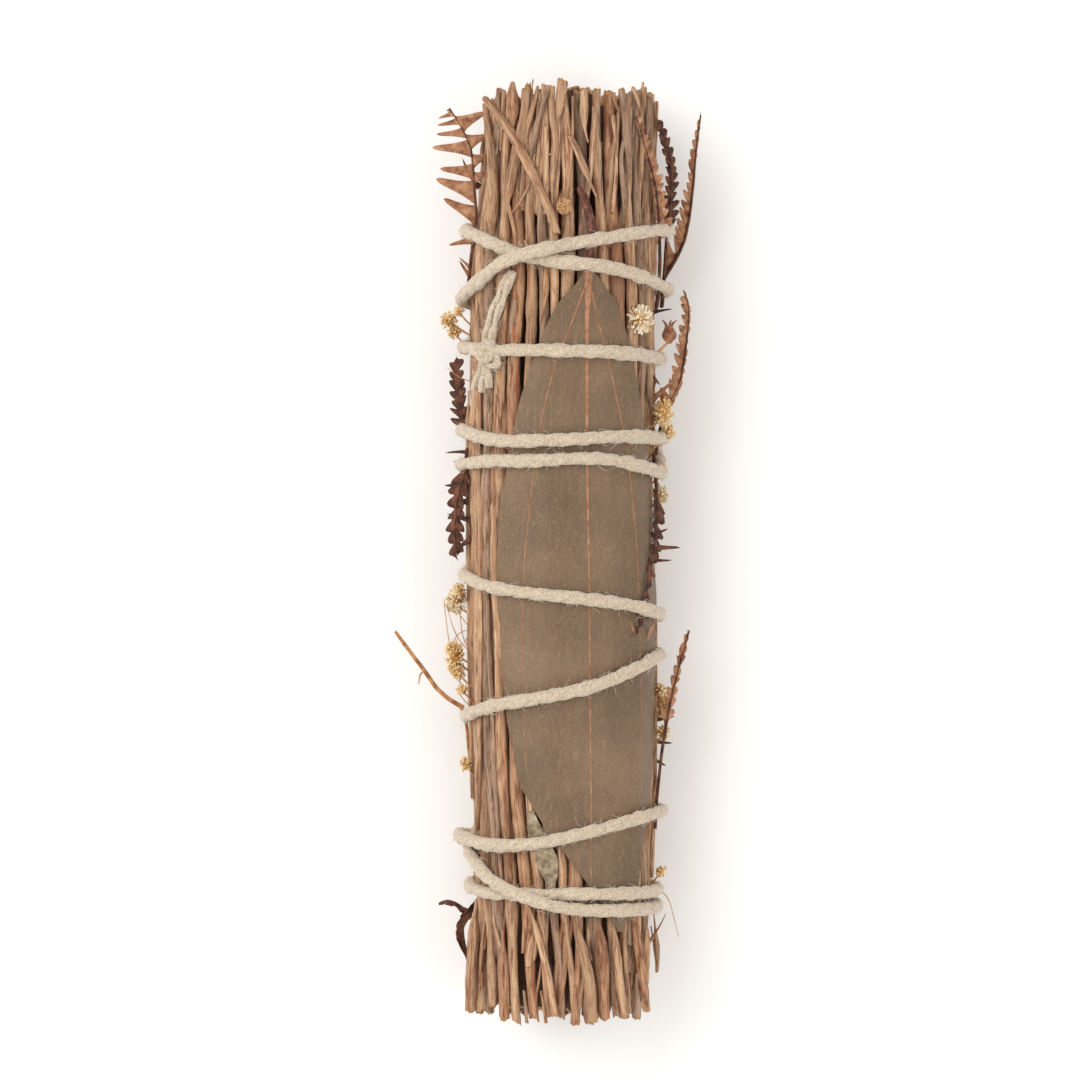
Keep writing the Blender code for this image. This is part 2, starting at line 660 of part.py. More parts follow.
# Passes of the string over the front, each from left to right: x, y
FRONT_PASSES = {
    "A": (
        (-14.1, 52.2), (-9.3, 49.4), (-4.5, 47.1), (1.9, 46.0),
        (8.3, 45.7), (14.7, 44.2), (19.2, 42.2),
    ),
    "B": (
        (-14.6, 40.2), (-9.3, 44.7), (-4.5, 47.1), (1.9, 48.7),
        (8.3, 49.8), (14.7, 51.0), (18.9, 51.8),
    ),
    "C": ((-13.8, 33.0), (-8.2, 32.1), (-1.3, 32.1), (5.1, 31.9), (11.5, 31.8), (17.6, 31.1)),
    "D": (
        (-13.6, 19.6), (-11.0, 18.1), (-6.4, 17.4), (-1.1, 17.7),
        (6.2, 17.9), (11.7, 18.5), (17.4, 18.2),
    ),
    "E": (
        (-13.3, 14.0), (-8.5, 14.7), (-3.4, 14.2), (2.6, 14.8),
        (8.0, 15.0), (13.4, 14.2), (18.1, 12.6),
    ),
    "F": (
        (-14.2, -3.4), (-10.9, -5.4), (-4.5, -6.5), (1.9, -7.1),
        (8.3, -7.8), (14.7, -8.7), (17.9, -10.2),
    ),
    "G": (
        (-13.4, -26.6), (-9.3, -24.6), (-1.3, -23.3), (6.7, -21.8),
        (11.5, -19.9), (15.5, -18.0), (17.6, -16.6),
    ),
    "H": (
        (-13.6, -45.8), (-10.9, -47.0), (-4.5, -47.0), (1.9, -45.8),
        (8.3, -44.2), (14.7, -42.5), (18.2, -41.7),
    ),
    "I": (
        (-13.6, -46.8), (-11.0, -50.8), (-8.5, -52.4), (-4.8, -54.2),
        (-1.1, -55.9), (4.3, -57.2), (18.6, -57.2),
    ),
    "J": (
        (-13.4, -53.5), (-11.0, -54.6), (-5.8, -54.8), (0.6, -54.5),
        (6.2, -54.5), (13.4, -54.6), (18.9, -54.5),
    ),
}

# Order of the passes along the string, each with the bend of the way back behind it
STRING_ROUTE = (
    ("C", 1.92, False),
    ("D", 1.78, False),
    ("F", 1.78, False),
    ("I", 1.00, False),
    ("J", 1.00, False),
    ("H", 1.55, False),
    ("G", 1.20, False),
    ("E", 3.65, True),
    ("B", 1.00, False),
    ("A", 5.40, False),
)

# A pass with a higher rank lies over one with a lower rank where they cross
FRONT_RANK = {"C": 0, "D": 1, "F": 2, "J": 3, "I": 4, "H": 5, "G": 6, "E": 7, "A": 8, "B": 9}
KNOT = (-9.9, 31.9)

# Share of the way back, at each of its ends, that stays level: the string climbs underneath
FLANK_SHARE = 0.14


def lay_string():
    """Middle line of the string: points, outward directions and the lift at crossings."""
    turns = len(STRING_ROUTE)
    half = YARN_STEPS // 2
    grow = PIECE_GAP + 0.2 + YARN_THICK / 2.0
    angles = [math.pi * (1.0 - k / half) for k in range(YARN_STEPS)]
    along = np.zeros((turns, YARN_STEPS))
    for turn, (name, power, late) in enumerate(STRING_ROUTE):
        xs = [point[0] for point in FRONT_PASSES[name]]
        ys = [point[1] for point in FRONT_PASSES[name]]
        following = FRONT_PASSES[STRING_ROUTE[(turn + 1) % turns][0]]
        for k, angle in enumerate(angles):
            if k <= half:
                y = float(np.interp(0.0, (-1, 1), (ys[0], ys[-1])))
                for repeat in range(3):
                    x = girth_centre(y)[0] + reach(y, angle, grow)[0] * math.cos(angle)
                    y = float(np.interp(x, xs, ys))
            else:
                t = (k - half) / half
                t = min(max((t - FLANK_SHARE) / (1.0 - 2.0 * FLANK_SHARE), 0.0), 1.0)
                share = 1.0 - (1.0 - t) ** power if late else t ** power
                y = ys[-1] + (following[0][1] - ys[-1]) * share
            along[turn, k] = y
    flat = along.reshape(-1)
    soft = flat.copy()
    soft[1:-1] = 0.2 * flat[:-2] + 0.6 * flat[1:-1] + 0.2 * flat[2:]
    along = soft.reshape(turns, YARN_STEPS)

    pitch = 3.35
    crossings = []
    for k in range(YARN_STEPS):
        for one in range(turns):
            for two in range(one + 1, turns):
                here = along[one, k] - along[two, k]
                if k < YARN_STEPS - 1:
                    there = along[one, k + 1] - along[two, k + 1]
                elif two == turns - 1:
                    continue
                else:
                    there = along[one + 1, 0] - along[two + 1, 0]
                if here * there < 0.0:
                    crossings.append((k, here / (here - there), one, two, abs(here - there)))
    lift = np.zeros(turns * YARN_STEPS)
    for k, share, one, two, apart in crossings:
        over = two
        if k < half and FRONT_RANK[STRING_ROUTE[one][0]] > FRONT_RANK[STRING_ROUTE[two][0]]:
            over = one
        sine = math.sin(math.atan(apart / pitch))
        full = min(1.15 * YARN_WIDTH / sine, 7.0)
        centre = over * YARN_STEPS + k + share
        for index in range(len(lift)):
            away = abs(index - centre) * pitch
            part = min(max((full + 4.5 - away) / 4.5, 0.0), 1.0)
            part = part * part * (3.0 - 2.0 * part)
            lift[index] = max(lift[index], part * (YARN_THICK + 0.45))

    points = []
    outs = []
    for index in range(turns * YARN_STEPS):
        turn, k = divmod(index, YARN_STEPS)
        y = float(along[turn, k])
        angle = angles[k]
        distance, normal = reach(y, angle, grow)
        centre = girth_centre(y)
        x = centre[0] + distance * math.cos(angle)
        z = centre[1] + distance * math.sin(angle)
        out = Vector((math.cos(normal), 0.0, math.sin(normal)))
        if k > half and abs(x - centre[0]) < FLAT_HALF_WIDTH:
            z = YARN_THICK / 2.0
            out = Vector((0.0, 0.0, -1.0))
        points.append(Vector((x, y, z)))
        outs.append(out)
    soft = []
    for index, out in enumerate(outs):
        before = outs[max(index - 1, 0)]
        after = outs[min(index + 1, len(outs) - 1)]
        mixed = (before + out * 2.0 + after).normalized()
        soft.append(out if out.z < -0.999 else mixed)
    lifted = [point + out * float(lift[k]) for k, (point, out) in enumerate(zip(points, soft))]
    for k, point in enumerate(lifted):
        flat = outs[k].z < -0.999
        point.z = max(point.z, YARN_THICK / 2.0 + (0.0 if flat else 0.12))
    return lifted, soft


def yarn_rings(points, outs, width, thick):
    """Oval circles along the yarn, the broad way along the surface it lies on."""
    rings = []
    for index, point in enumerate(points):
        before = points[max(index - 1, 0)]
        after = points[min(index + 1, len(points) - 1)]
        along = (after - before).normalized()
        out = (outs[index] - along * outs[index].dot(along)).normalized()
        across = along.cross(out)
        wide = width[index] / 2.0
        tall = thick[index] / 2.0 / math.cos(math.pi / YARN_SIDES)
        rings.append(ring_matrix(point, across * wide, out * tall, along))
    return rings


def join_pieces(name, parts, material, smooth_angle):
    """Fuses overlapping closed pieces into one with exact unions."""
    items = [finish(name + "_part_" + str(k), part, material, 60.0) for k, part in enumerate(parts)]
    base = items[0]
    for other in items[1:]:
        change = base.modifiers.new("join", "BOOLEAN")
        change.operation = "UNION"
        change.solver = "EXACT"
        change.object = other
    graph = bpy.context.evaluated_depsgraph_get()
    mesh = bpy.data.meshes.new_from_object(base.evaluated_get(graph))
    mesh.name = name
    mesh.materials.clear()
    mesh.materials.append(material)
    for face in mesh.polygons:
        face.material_index = 0
        face.use_smooth = True
    mesh.set_sharp_from_angle(angle=math.radians(smooth_angle))
    for item in items:
        bpy.data.objects.remove(item, do_unlink=True)
    item = bpy.data.objects.new(name, mesh)
    bpy.context.scene.collection.objects.link(item)
    return item


def surface_path(places, lift, radius):
    """Points over the front of the bundle for yarn ends: places are x, y."""
    points = []
    outs = []
    for x, y in places:
        points.append(Vector((x, y, skin_height(x, y, PIECE_GAP + radius + lift))))
        normal = reach(y, math.atan2(points[-1].z - MIDDLE_HEIGHT, x - girth_centre(y)[0]), 0.0)[1]
        outs.append(Vector((math.cos(normal), 0.0, math.sin(normal))))
    return points, outs


def mesh_samples(item):
    """Points spread over a finished object's edges, back in millimetres."""
    found = []
    for edge in item.data.edges:
        a = item.data.vertices[edge.vertices[0]].co / METRES_PER_MM
        b = item.data.vertices[edge.vertices[1]].co / METRES_PER_MM
        count = max(int((b - a).length / 1.2), 1)
        found.extend(tuple(a.lerp(b, k / count)) for k in range(count + 1))
    return found


def build():
    for item in list(bpy.data.objects):
        bpy.data.objects.remove(item, do_unlink=True)
    random.seed(11)

    barks = (
        make_material("tan_bark", "#cda67c", 0.85),
        make_material("grey_bark", "#a58a70", 0.88),
        make_material("red_bark", "#9a5f43", 0.82),
    )
    leaf_green = make_material("bay_leaf_olive", "#8a7a60", 0.6)
    leaf_grey = make_material("grey_leaf", "#a89c84", 0.85)
    fern_brown = make_material("fern_brown", "#b07f58", 0.75)
    fern_dark = make_material("fern_dark", "#5a3324", 0.75)
    cream = make_material("flower_cream", "#efe6d2", 0.9)
    straw = make_material("flower_straw", "#e0bd7e", 0.9)
    sprig_tan = make_material("sprig_tan", "#c08a5a", 0.8)
    cotton = make_material("cotton", "#e8dcc8", 0.95)

    track, sizes = pack_stems()
    groups = (
        ("front_stem", FRONT_STEMS, 7),
        ("back_stem", BACK_STEMS, 6),
        ("core_stem", CORE_STEMS, 6),
    )
    stem = 0
    for title, rows, sides in groups:
        for number, row in enumerate(rows, start=1):
            bark = barks[(0, 0, 1, 0, 2, 0, 1)[stem % 7]]
            make_stem(f"{title}_{number:02d}", track, sizes, stem, row[1], row[2], sides, bark)
            stem += 1

    circle = np.radians(np.arange(0.0, 360.0, 22.5))
    skin = []
    for y in np.arange(-76.0, 76.1, 1.0):
        for k in range(stem):
            x, z, radius = stem_at(track, sizes, k, float(y))
            skin.extend((x + radius * math.cos(a), y, z + radius * math.sin(a)) for a in circle)
    add_to_girth(skin, 1.3)

    rings = []
    for x, y, radius in SLANTING_STEM:
        z = skin_height(x, y, PIECE_GAP + radius + 0.15)
        across = Vector((radius, 0, 0))
        up = Vector((0, 0, radius))
        rings.append(ring_matrix((x, y, z), across, up, Vector((0, -1, 0))))
    finish("slanting_stem", sweep(rings, 7), barks[0], 50.0)

    rise = PIECE_GAP + LEAF_THICK + 0.15
    bay = finish("bay_leaf", leaf_sheet(BAY_LEAF, 6, rise, 0.25), leaf_green, 60.0)
    grey = finish("grey_leaf", leaf_sheet(GREY_LEAF, 2, rise, 0.0), leaf_grey, 60.0)
    add_to_girth(mesh_samples(bay), 1.3)
    add_to_girth(mesh_samples(grey), 1.3)

    browns = {"brown": fern_brown, "dark": fern_dark}
    fronds = []
    for row in FRONDS:
        name, tone, path, facing, stalk, pairs, rib, left, right, lean, curl = row
        item = frond(name, path, facing, stalk, pairs, rib, left, right, lean, curl, browns[tone])
        fronds.append(item)
    flowers = {"cream": cream, "straw": straw, "dark": fern_brown}
    for name, tone, centre, radii in FLOWER_HEADS:
        flower_head(name, centre, radii, flowers[tone])

    sprig_parts = []
    for places in (SPRIG_STEM, SPRIG_FORK):
        points = [Vector(clear_of_bundle(place[:3], PIECE_GAP + place[3] + 0.1)) for place in places]
        rings = []
        for index, point in enumerate(points):
            along = (points[min(index + 1, len(points) - 1)] - points[max(index - 1, 0)]).normalized()
            across = along.cross(Vector((0, 0, 1))).normalized()
            size = places[index][3]
            rings.append(ring_matrix(point, across * size, across.cross(along) * size, along))
        sprig_parts.append(sweep(rings, 6))
    sprig = join_pieces("side_sprig", sprig_parts, sprig_tan, 60.0)

    held = []
    for item in fronds + [sprig]:
        for point in mesh_samples(item):
            centre = girth_centre(point[1])
            angle = math.atan2(point[2] - centre[1], point[0] - centre[0])
            distance = math.hypot(point[0] - centre[0], point[2] - centre[1])
            if distance < reach(point[1], angle, PIECE_GAP + 2.0)[0]:
                held.append(point)
    add_to_girth(held, 1.9)

    points, outs = lay_string()
    first = next(k for k in range(YARN_STEPS) if points[k].x > KNOT[0] + 0.8)
    half_thick = YARN_THICK / 2.0
    start, start_out = surface_path([(KNOT[0] + 0.4, KNOT[1] + 0.1)], 0.2, half_thick)
    end, end_out = surface_path([(-13.8, 32.9), (KNOT[0] - 0.4, KNOT[1] + 0.2)], 0.2, half_thick)
    points = start + points[first:] + end
    outs = start_out + outs[first:] + end_out
    width = [YARN_WIDTH] * len(points)
    thick = [YARN_THICK] * len(points)
    parts = [sweep(yarn_rings(points, outs, width, thick), YARN_SIDES)]

    knot = bmesh.new()
    bmesh.ops.create_icosphere(knot, subdivisions=2, radius=1.0)
    place, out = surface_path([KNOT], 0.35, half_thick)
    bmesh.ops.scale(knot, vec=Vector((1.7, 2.2, 1.5)), verts=knot.verts)
    bmesh.ops.translate(knot, vec=place[0] + out[0] * 0.3, verts=knot.verts)
    parts.append(knot)
    for places, lift, widths, thicks in YARN_ENDS:
        points, outs = surface_path(places, lift, max(thicks) / 2.0)
        parts.append(sweep(yarn_rings(points, outs, widths, thicks), YARN_SIDES))
    join_pieces("cotton_string", parts, cotton, 60.0)


build()
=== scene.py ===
"""A smudge bundle lying on its back: the dressed twigs, bay leaf, fern, flowers and string.

Everything is worked out in millimetres and scaled to metres when a piece is finished.
X runs across the bundle, Y along it and Z up from the surface it lies on."""

import math

import bmesh
import bpy
import numpy as np
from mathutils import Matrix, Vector, noise


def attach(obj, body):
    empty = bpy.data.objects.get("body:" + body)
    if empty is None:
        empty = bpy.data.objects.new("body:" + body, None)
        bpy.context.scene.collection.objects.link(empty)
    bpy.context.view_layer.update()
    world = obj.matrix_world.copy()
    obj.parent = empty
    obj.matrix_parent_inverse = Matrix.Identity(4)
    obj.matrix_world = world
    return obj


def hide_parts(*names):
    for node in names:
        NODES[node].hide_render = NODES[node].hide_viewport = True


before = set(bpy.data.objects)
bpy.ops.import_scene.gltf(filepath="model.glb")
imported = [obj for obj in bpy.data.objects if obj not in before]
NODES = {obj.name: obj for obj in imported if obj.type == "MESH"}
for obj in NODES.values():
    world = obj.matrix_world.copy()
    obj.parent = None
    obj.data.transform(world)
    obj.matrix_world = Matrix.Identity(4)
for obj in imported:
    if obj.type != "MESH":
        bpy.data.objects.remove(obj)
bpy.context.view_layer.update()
MM = 0.001
chance = np.random.default_rng(23)

# Where the photograph's pixels fall on the bundle, in millimetres
PIXEL = 0.16
PIXEL_MIDDLE = (548.0, 551.5)
MIDDLE_HEIGHT = 15.2
YARN_WIDTH = 2.25
YARN_THICK = 1.95


# Camera, lights and floor

def add_light(name, place, aim, size, power):
    """A soft square lamp at a place, in metres, turned towards its aim."""
    lamp = bpy.data.lights.new(name, "AREA")
    lamp.size = size
    lamp.energy = power
    item = bpy.data.objects.new(name, lamp)
    item.location = place
    item.rotation_euler = (Vector(aim) - Vector(place)).to_track_quat("-Z", "Y").to_euler()
    bpy.context.scene.collection.objects.link(item)


def set_the_stage():
    """Camera straight above, three soft lamps, a pale floor and a pale room."""
    scene = bpy.context.scene
    lens = bpy.data.cameras.new("camera")
    lens.lens = 200.0
    lens.sensor_width = 36.0
    lens.clip_start = 0.01
    camera = bpy.data.objects.new("camera", lens)
    camera.location = (-1.28 * MM, 1.84 * MM, 984.0 * MM)
    scene.collection.objects.link(camera)
    scene.camera = camera

    add_light("window_light", (-0.36, 0.22, 0.46), (0, 0, 0.01), 0.60, 2.5)
    add_light("fill_light", (0.38, -0.10, 0.45), (0, 0, 0.01), 0.45, 0.9)
    add_light("low_light", (-0.05, -0.45, 0.30), (0, 0, 0.01), 0.35, 0.5)

    world = bpy.data.worlds.new("pale_room")
    scene.world = world
    world.use_nodes = True
    sky = world.node_tree.nodes["Background"]
    sky.inputs["Color"].default_value = (1.0, 0.985, 0.965, 1.0)
    sky.inputs["Strength"].default_value = 0.74
    scene.view_settings.view_transform = "Standard"

    sheet = bmesh.new()
    bmesh.ops.create_grid(sheet, x_segments=1, y_segments=1, size=1.2)
    mesh = bpy.data.meshes.new("floor")
    sheet.to_mesh(mesh)
    sheet.free()
    floor = bpy.data.objects.new("floor", mesh)
    scene.collection.objects.link(floor)
    paper, shader = matt("backdrop_paper", "#fbfaf8", 0.9)
    mesh.materials.append(paper)


# Materials

def linear(colour):
    """An sRGB hexadecimal colour as linear red, green, blue and alpha."""
    channels = [int(colour[k:k + 2], 16) / 255.0 for k in (1, 3, 5)]
    return (*[c / 12.92 if c <= 0.04045 else ((c + 0.055) / 1.055) ** 2.4 for c in channels], 1.0)


def add(material, kind, inputs=None, stops=None, **settings):
    """Adds a node: inputs are values or sockets by name, stops are a ramp's places and colours."""
    tree = material.node_tree
    node = tree.nodes.new("ShaderNode" + kind)
    for name, value in settings.items():
        setattr(node, name, value)
    for name, value in (inputs or {}).items():
        if isinstance(value, bpy.types.NodeSocket):
            tree.links.new(value, node.inputs[name])
        else:
            node.inputs[name].default_value = value
    for index, (place, colour) in enumerate(stops or ()):
        marks = node.color_ramp.elements
        mark = marks[index] if index < 2 else marks.new(place)
        mark.position = place
        mark.color = linear(colour) if isinstance(colour, str) else (colour,) * 3 + (1.0,)
    return node


def matt(name, colour, roughness, ior=1.45):
    """A plain dry surface to start from; gives the material and its shader."""
    material = bpy.data.materials.new(name)
    material.use_nodes = True
    shader = material.node_tree.nodes["Principled BSDF"]
    shader.inputs["Base Color"].default_value = linear(colour)
    shader.inputs["Roughness"].default_value = roughness
    shader.inputs["IOR"].default_value = ior
    material.diffuse_color = linear(colour)
    return material, shader


def dress(material, shader, colour, height, depth):
    """Gives the shader its colour and its fine relief, depth in millimetres."""
    material.node_tree.links.new(colour, shader.inputs["Base Color"])
    bump = add(material, "Bump", {"Height": height, "Distance": depth * MM, "Strength": 1.0})
    material.node_tree.links.new(bump.outputs[0], shader.inputs["Normal"])


def ramp(material, source, *stops):
    """A ramp over what a node gives: each stop is a place with a colour or a share."""
    return add(material, "ValToRGB", {"Fac": source.outputs[0]}, stops=stops).outputs[0]


def tint(material, share, under, colour):
    """Lays a colour over a tone, by a share from 0 to 1."""
    return add(material, "Mix", {0: share, 6: under, 7: linear(colour)}, data_type="RGBA").outputs[2]


def twig_bark(name, dark, middle, light, patch, streak):
    """Dry bark of thin twigs, weathered: long fibres, worn pale ridges, red streaks and dark pores."""
    material, shader = matt(name, middle, 0.86)
    grain = add(material, "Attribute", attribute_name="grain").outputs["Vector"]
    along = add(material, "Mapping", {"Vector": grain, "Scale": (1.0, 1.0, 0.09)}).outputs[0]
    # fibres are 0.1 mm wide, drawn 0.3 mm wide to show
    fibre = add(material, "TexNoise", {"Vector": along, "Scale": 3.2, "Detail": 5.0, "Roughness": 0.62})
    tone = ramp(material, fibre, (0.37, dark), (0.65, light), (0.50, middle))
    patches = (
        # worn patches 3 to 6 mm long
        ((0.7, 0.7, 0.22), 1.1, 3.0, (0.46, 0.0), (0.62, 0.75), patch),
        # streaks 0.4 mm wide and 20 mm long, where the red inner bark shows
        ((2.4, 2.4, 0.05), 1.0, 2.0, (0.57, 0.0), (0.66, 0.7), streak),
        # slow drift of tone, 40 mm along a twig
        ((0.15, 0.15, 0.025), 1.0, 2.0, (0.40, 0.5), (0.58, 0.0), dark),
    )
    for stretch, scale, detail, low, high, colour in patches:
        drawn = add(material, "Mapping", {"Vector": grain, "Scale": stretch}).outputs[0]
        drawn = add(material, "TexNoise", {"Vector": drawn, "Scale": scale, "Detail": detail})
        tone = tint(material, ramp(material, drawn, low, high), tone, colour)
    # pores of 0.2 mm
    pore = add(material, "TexVoronoi", {"Vector": grain, "Scale": 1.3, "Randomness": 1.0})
    tone = tint(material, ramp(material, pore, (0.07, 0.85), (0.15, 0.0)), tone, "#5a3a26")
    dress(material, shader, tone, fibre.outputs[0], 0.30)
    return material


def torn_wood(name, rim, heart):
    """The broken end of a twig: pale splintered wood mottled with a darker heartwood colour."""
    material, shader = matt(name, rim, 0.9)
    place = add(material, "TexCoord").outputs["Object"]
    # splinters of 0.25 mm; Object coordinates are in metres
    rough = add(material, "TexNoise", {"Vector": place, "Scale": 4000.0, "Detail": 4.0})
    dress(material, shader, ramp(material, rough, (0.36, heart), (0.62, rim)), rough.outputs[0], 0.15)
    return material


def cotton_yarn(name, shade, body):
    """Undyed carded cotton, loosely plied: soft, fuzzy, with seed specks."""
    material, shader = matt(name, body, 0.95)
    shader.inputs["Sheen Weight"].default_value = 0.35
    shader.inputs["Sheen Roughness"].default_value = 0.6
    grain = add(material, "Attribute", attribute_name="grain").outputs["Vector"]
    along = add(material, "Mapping", {"Vector": grain, "Scale": (1.0, 1.0, 0.3)}).outputs[0]
    # carded fibres 0.02 mm thick, drawn 0.15 mm
    fibre = add(material, "TexNoise", {"Vector": along, "Scale": 6.0, "Detail": 5.0, "Roughness": 0.7})
    tone = ramp(material, fibre, (0.36, shade), (0.58, body))
    fleck = add(material, "TexVoronoi", {"Vector": grain, "Scale": 0.32, "Randomness": 1.0})
    tone = tint(material, ramp(material, fleck, (0.03, 0.8), (0.05, 0.0)), tone, "#6b4a35")
    dress(material, shader, tone, fibre.outputs[0], 0.12)
    return material


def bay_skin():
    """A dried bay leaf: leathery, a thin waxy sheen, fine net of veins and pale scuffs."""
    material, shader = matt("dried_bay_leaf", "#715a42", 0.50)
    shader.inputs["Coat Weight"].default_value = 0.08
    shader.inputs["Coat Roughness"].default_value = 0.4
    place = add(material, "TexCoord").outputs["Object"]
    mm = add(material, "Mapping", {"Vector": place, "Scale": (1000.0, 1000.0, 1000.0)}).outputs[0]
    drift = add(material, "TexNoise", {"Vector": mm, "Scale": 0.07, "Detail": 3.0})
    tone = ramp(material, drift, (0.35, "#654d36"), (0.65, "#80654b"), (0.50, "#71583f"))
    # the net of small veins, 0.8 mm from one to the next
    bend = add(material, "TexNoise", {"Vector": mm, "Scale": 0.5, "Detail": 2.0}).outputs["Color"]
    bent = add(material, "Mix", {0: 0.35, 4: mm, 5: bend}, data_type="VECTOR").outputs[1]
    net = add(material, "TexVoronoi", {"Vector": bent, "Scale": 1.3}, feature="DISTANCE_TO_EDGE")
    net = ramp(material, net, (0.0, 1.0), (0.09, 0.0))
    veil = add(material, "Math", {0: net, 1: 0.22}, operation="MULTIPLY").outputs[0]
    tone = tint(material, veil, tone, "#8f7656")
    # hairline scuffs 0.1 mm wide in long curves, in two crossing sets
    for turn, scale in ((0.35, 0.20), (1.25, 0.27)):
        way = {"Vector": mm, "Rotation": (0, 0, turn), "Scale": (3.0, 0.5, 1)}
        curves = {
            "Vector": add(material, "Mapping", way).outputs[0], "Scale": scale,
            "Detail": 5.0, "Roughness": 0.6, "Distortion": 1.6,
        }
        scuff = add(material, "TexNoise", curves)
        scuff = ramp(material, scuff, (0.485, 0.0), (0.515, 0.0), (0.50, 0.42))
        tone = tint(material, scuff, tone, "#9a8162")
    # grain of 0.2 mm, then dark specks 2 mm apart
    grit = add(material, "TexNoise", {"Vector": mm, "Scale": 3.0, "Detail": 3.0})
    tone = tint(material, ramp(material, grit, (0.40, 0.30), (0.58, 0.0)), tone, "#54432f")
    speck = add(material, "TexVoronoi", {"Vector": mm, "Scale": 0.55, "Randomness": 1.0})
    tone = tint(material, ramp(material, speck, (0.03, 0.8), (0.06, 0.0)), tone, "#4c3a2a")
    dress(material, shader, tone, net, 0.03)
    return material


def dry_tissue(name, dark, middle, light, roughness=0.78):
    """Dried leaf tissue of fern and petals: papery, browned unevenly."""
    material, shader = matt(name, middle, roughness)
    place = add(material, "TexCoord").outputs["Object"]
    # blotches of 1 mm with a fine grain of 0.15 mm
    blotch = add(material, "TexNoise", {"Vector": place, "Scale": 700.0, "Detail": 6.0, "Roughness": 0.68})
    tone = ramp(material, blotch, (0.36, dark), (0.66, light), (0.50, middle))
    dress(material, shader, tone, blotch.outputs[0], 0.10)
    return material


# Shapes

def photo_xy(px, py):
    """The place on the bundle, in millimetres, of a pixel of the photograph."""
    return (px - PIXEL_MIDDLE[0]) * PIXEL, (PIXEL_MIDDLE[1] - py) * PIXEL


def unit(way):
    """The same way with a length of 1."""
    return way / np.linalg.norm(way)


def distances(line):
    """How far along a line each of its points lies."""
    return np.concatenate([[0.0], np.cumsum(np.linalg.norm(np.diff(line, axis=0), axis=1))])


def smooth(values, times):
    """Evens out a row of values, its two ends kept."""
    values = np.array(values, dtype=float)
    for repeat in range(times):
        middle = 0.25 * values[:-2] + 0.5 * values[1:-1] + 0.25 * values[2:]
        values = np.concatenate([values[:1], middle, values[-1:]])
    return values


def eased(marks, at, times, steps=None):
    """Each column of a table of marks, read at places along the table and evened out."""
    marks = np.array(marks, dtype=float)
    steps = range(len(marks)) if steps is None else steps
    return [smooth(np.interp(at, steps, column), times) for column in marks.T]


def directions_along(line):
    """For each point of a line, the way along it and two ways across that turn little."""
    along = np.gradient(line, axis=0)
    along /= np.maximum(np.linalg.norm(along, axis=1), 1e-9)[:, None]
    side = np.array([1.0, 0.0, 0.0]) if abs(along[0][0]) < 0.8 else np.array([0.0, 0.0, 1.0])
    across = np.zeros_like(line)
    for k, way in enumerate(along):
        side = unit(side - way * np.dot(side, way))
        across[k] = side
    return along, across, np.cross(along, across)


# How a rod closes at its ends: (forward, share of the radius), both in radii
END_FORMS = {
    "cut": ((0.10, 0.86), (0.02, 0.45), (-0.12, 0.0)),
    "snapped": ((0.25, 0.80), (-0.10, 0.50), (0.30, 0.0)),
    "tip": ((0.7, 0.55), (1.1, 0.0)),
    "round": ((0.35, 0.85), (0.6, 0.45), (0.7, 0.0)),
    "point": ((0.6, 0.0),),
}


def rod(parts, line, radii, sides, form=None, ends=("cut", "cut"), rough=0.0, skins=(0, 0),
        mark=0.0, spin=0.0, tall=1.0):
    """Plans a closed rod along a line and adds it to the parts of a piece.

    form(length, turn) swells it, rough makes the ends uneven, skins are the materials of
    its side and ends, mark shifts its grain, spin twists the grain and tall flattens it."""
    line = np.asarray(line, dtype=float)
    radii = np.asarray(radii, dtype=float)
    along, across, out = directions_along(line)
    length = distances(line)
    turn = np.linspace(0.0, 2.0 * math.pi, sides + 1)
    swell = np.ones((len(line), sides + 1)) if form is None else form(length[:, None], turn[None, :])
    swell[:, -1] = swell[:, 0]
    jag = chance.normal(0.0, rough, (2, sides + 1))
    jag = jag + rough * 1.5 * np.cos(turn + chance.uniform(0, 6.28))
    jag[:, -1] = jag[:, 0]
    last = len(line) - 1
    low = [(0, share, -forward * radii[0], jag[0] * share * radii[0], skins[1])
           for forward, share in END_FORMS[ends[0]]]
    high = [(last, share, forward * radii[last], jag[1] * share * radii[last], skins[1])
            for forward, share in END_FORMS[ends[1]]]
    rows = low[::-1] + [(0, 1.0, 0.0, jag[0] * radii[0], skins[0])]
    rows = rows + [(k, 1.0, 0.0, jag[0] * 0.0, skins[0]) for k in range(1, last)]
    rows = rows + [(last, 1.0, 0.0, jag[1] * radii[last], skins[0])] + high
    index = np.array([row[0] for row in rows])
    share = np.array([row[1] for row in rows])[:, None]
    ahead = np.array([row[2] + row[3] for row in rows])
    size = radii[index][:, None] * swell[index] * share
    places = (
        line[index][:, None, :]
        + across[index][:, None, :] * (size * np.cos(turn))[:, :, None]
        + out[index][:, None, :] * (size * tall * np.sin(turn))[:, :, None]
        + along[index][:, None, :] * ahead[:, :, None]
    )
    round_grain = turn[None, :] + spin * length[index][:, None]
    grain = np.stack(
        [size * np.cos(round_grain), size * np.sin(round_grain), length[index][:, None] + ahead + mark],
        axis=2,
    )
    parts.append((places, grain, [row[4] for row in rows]))


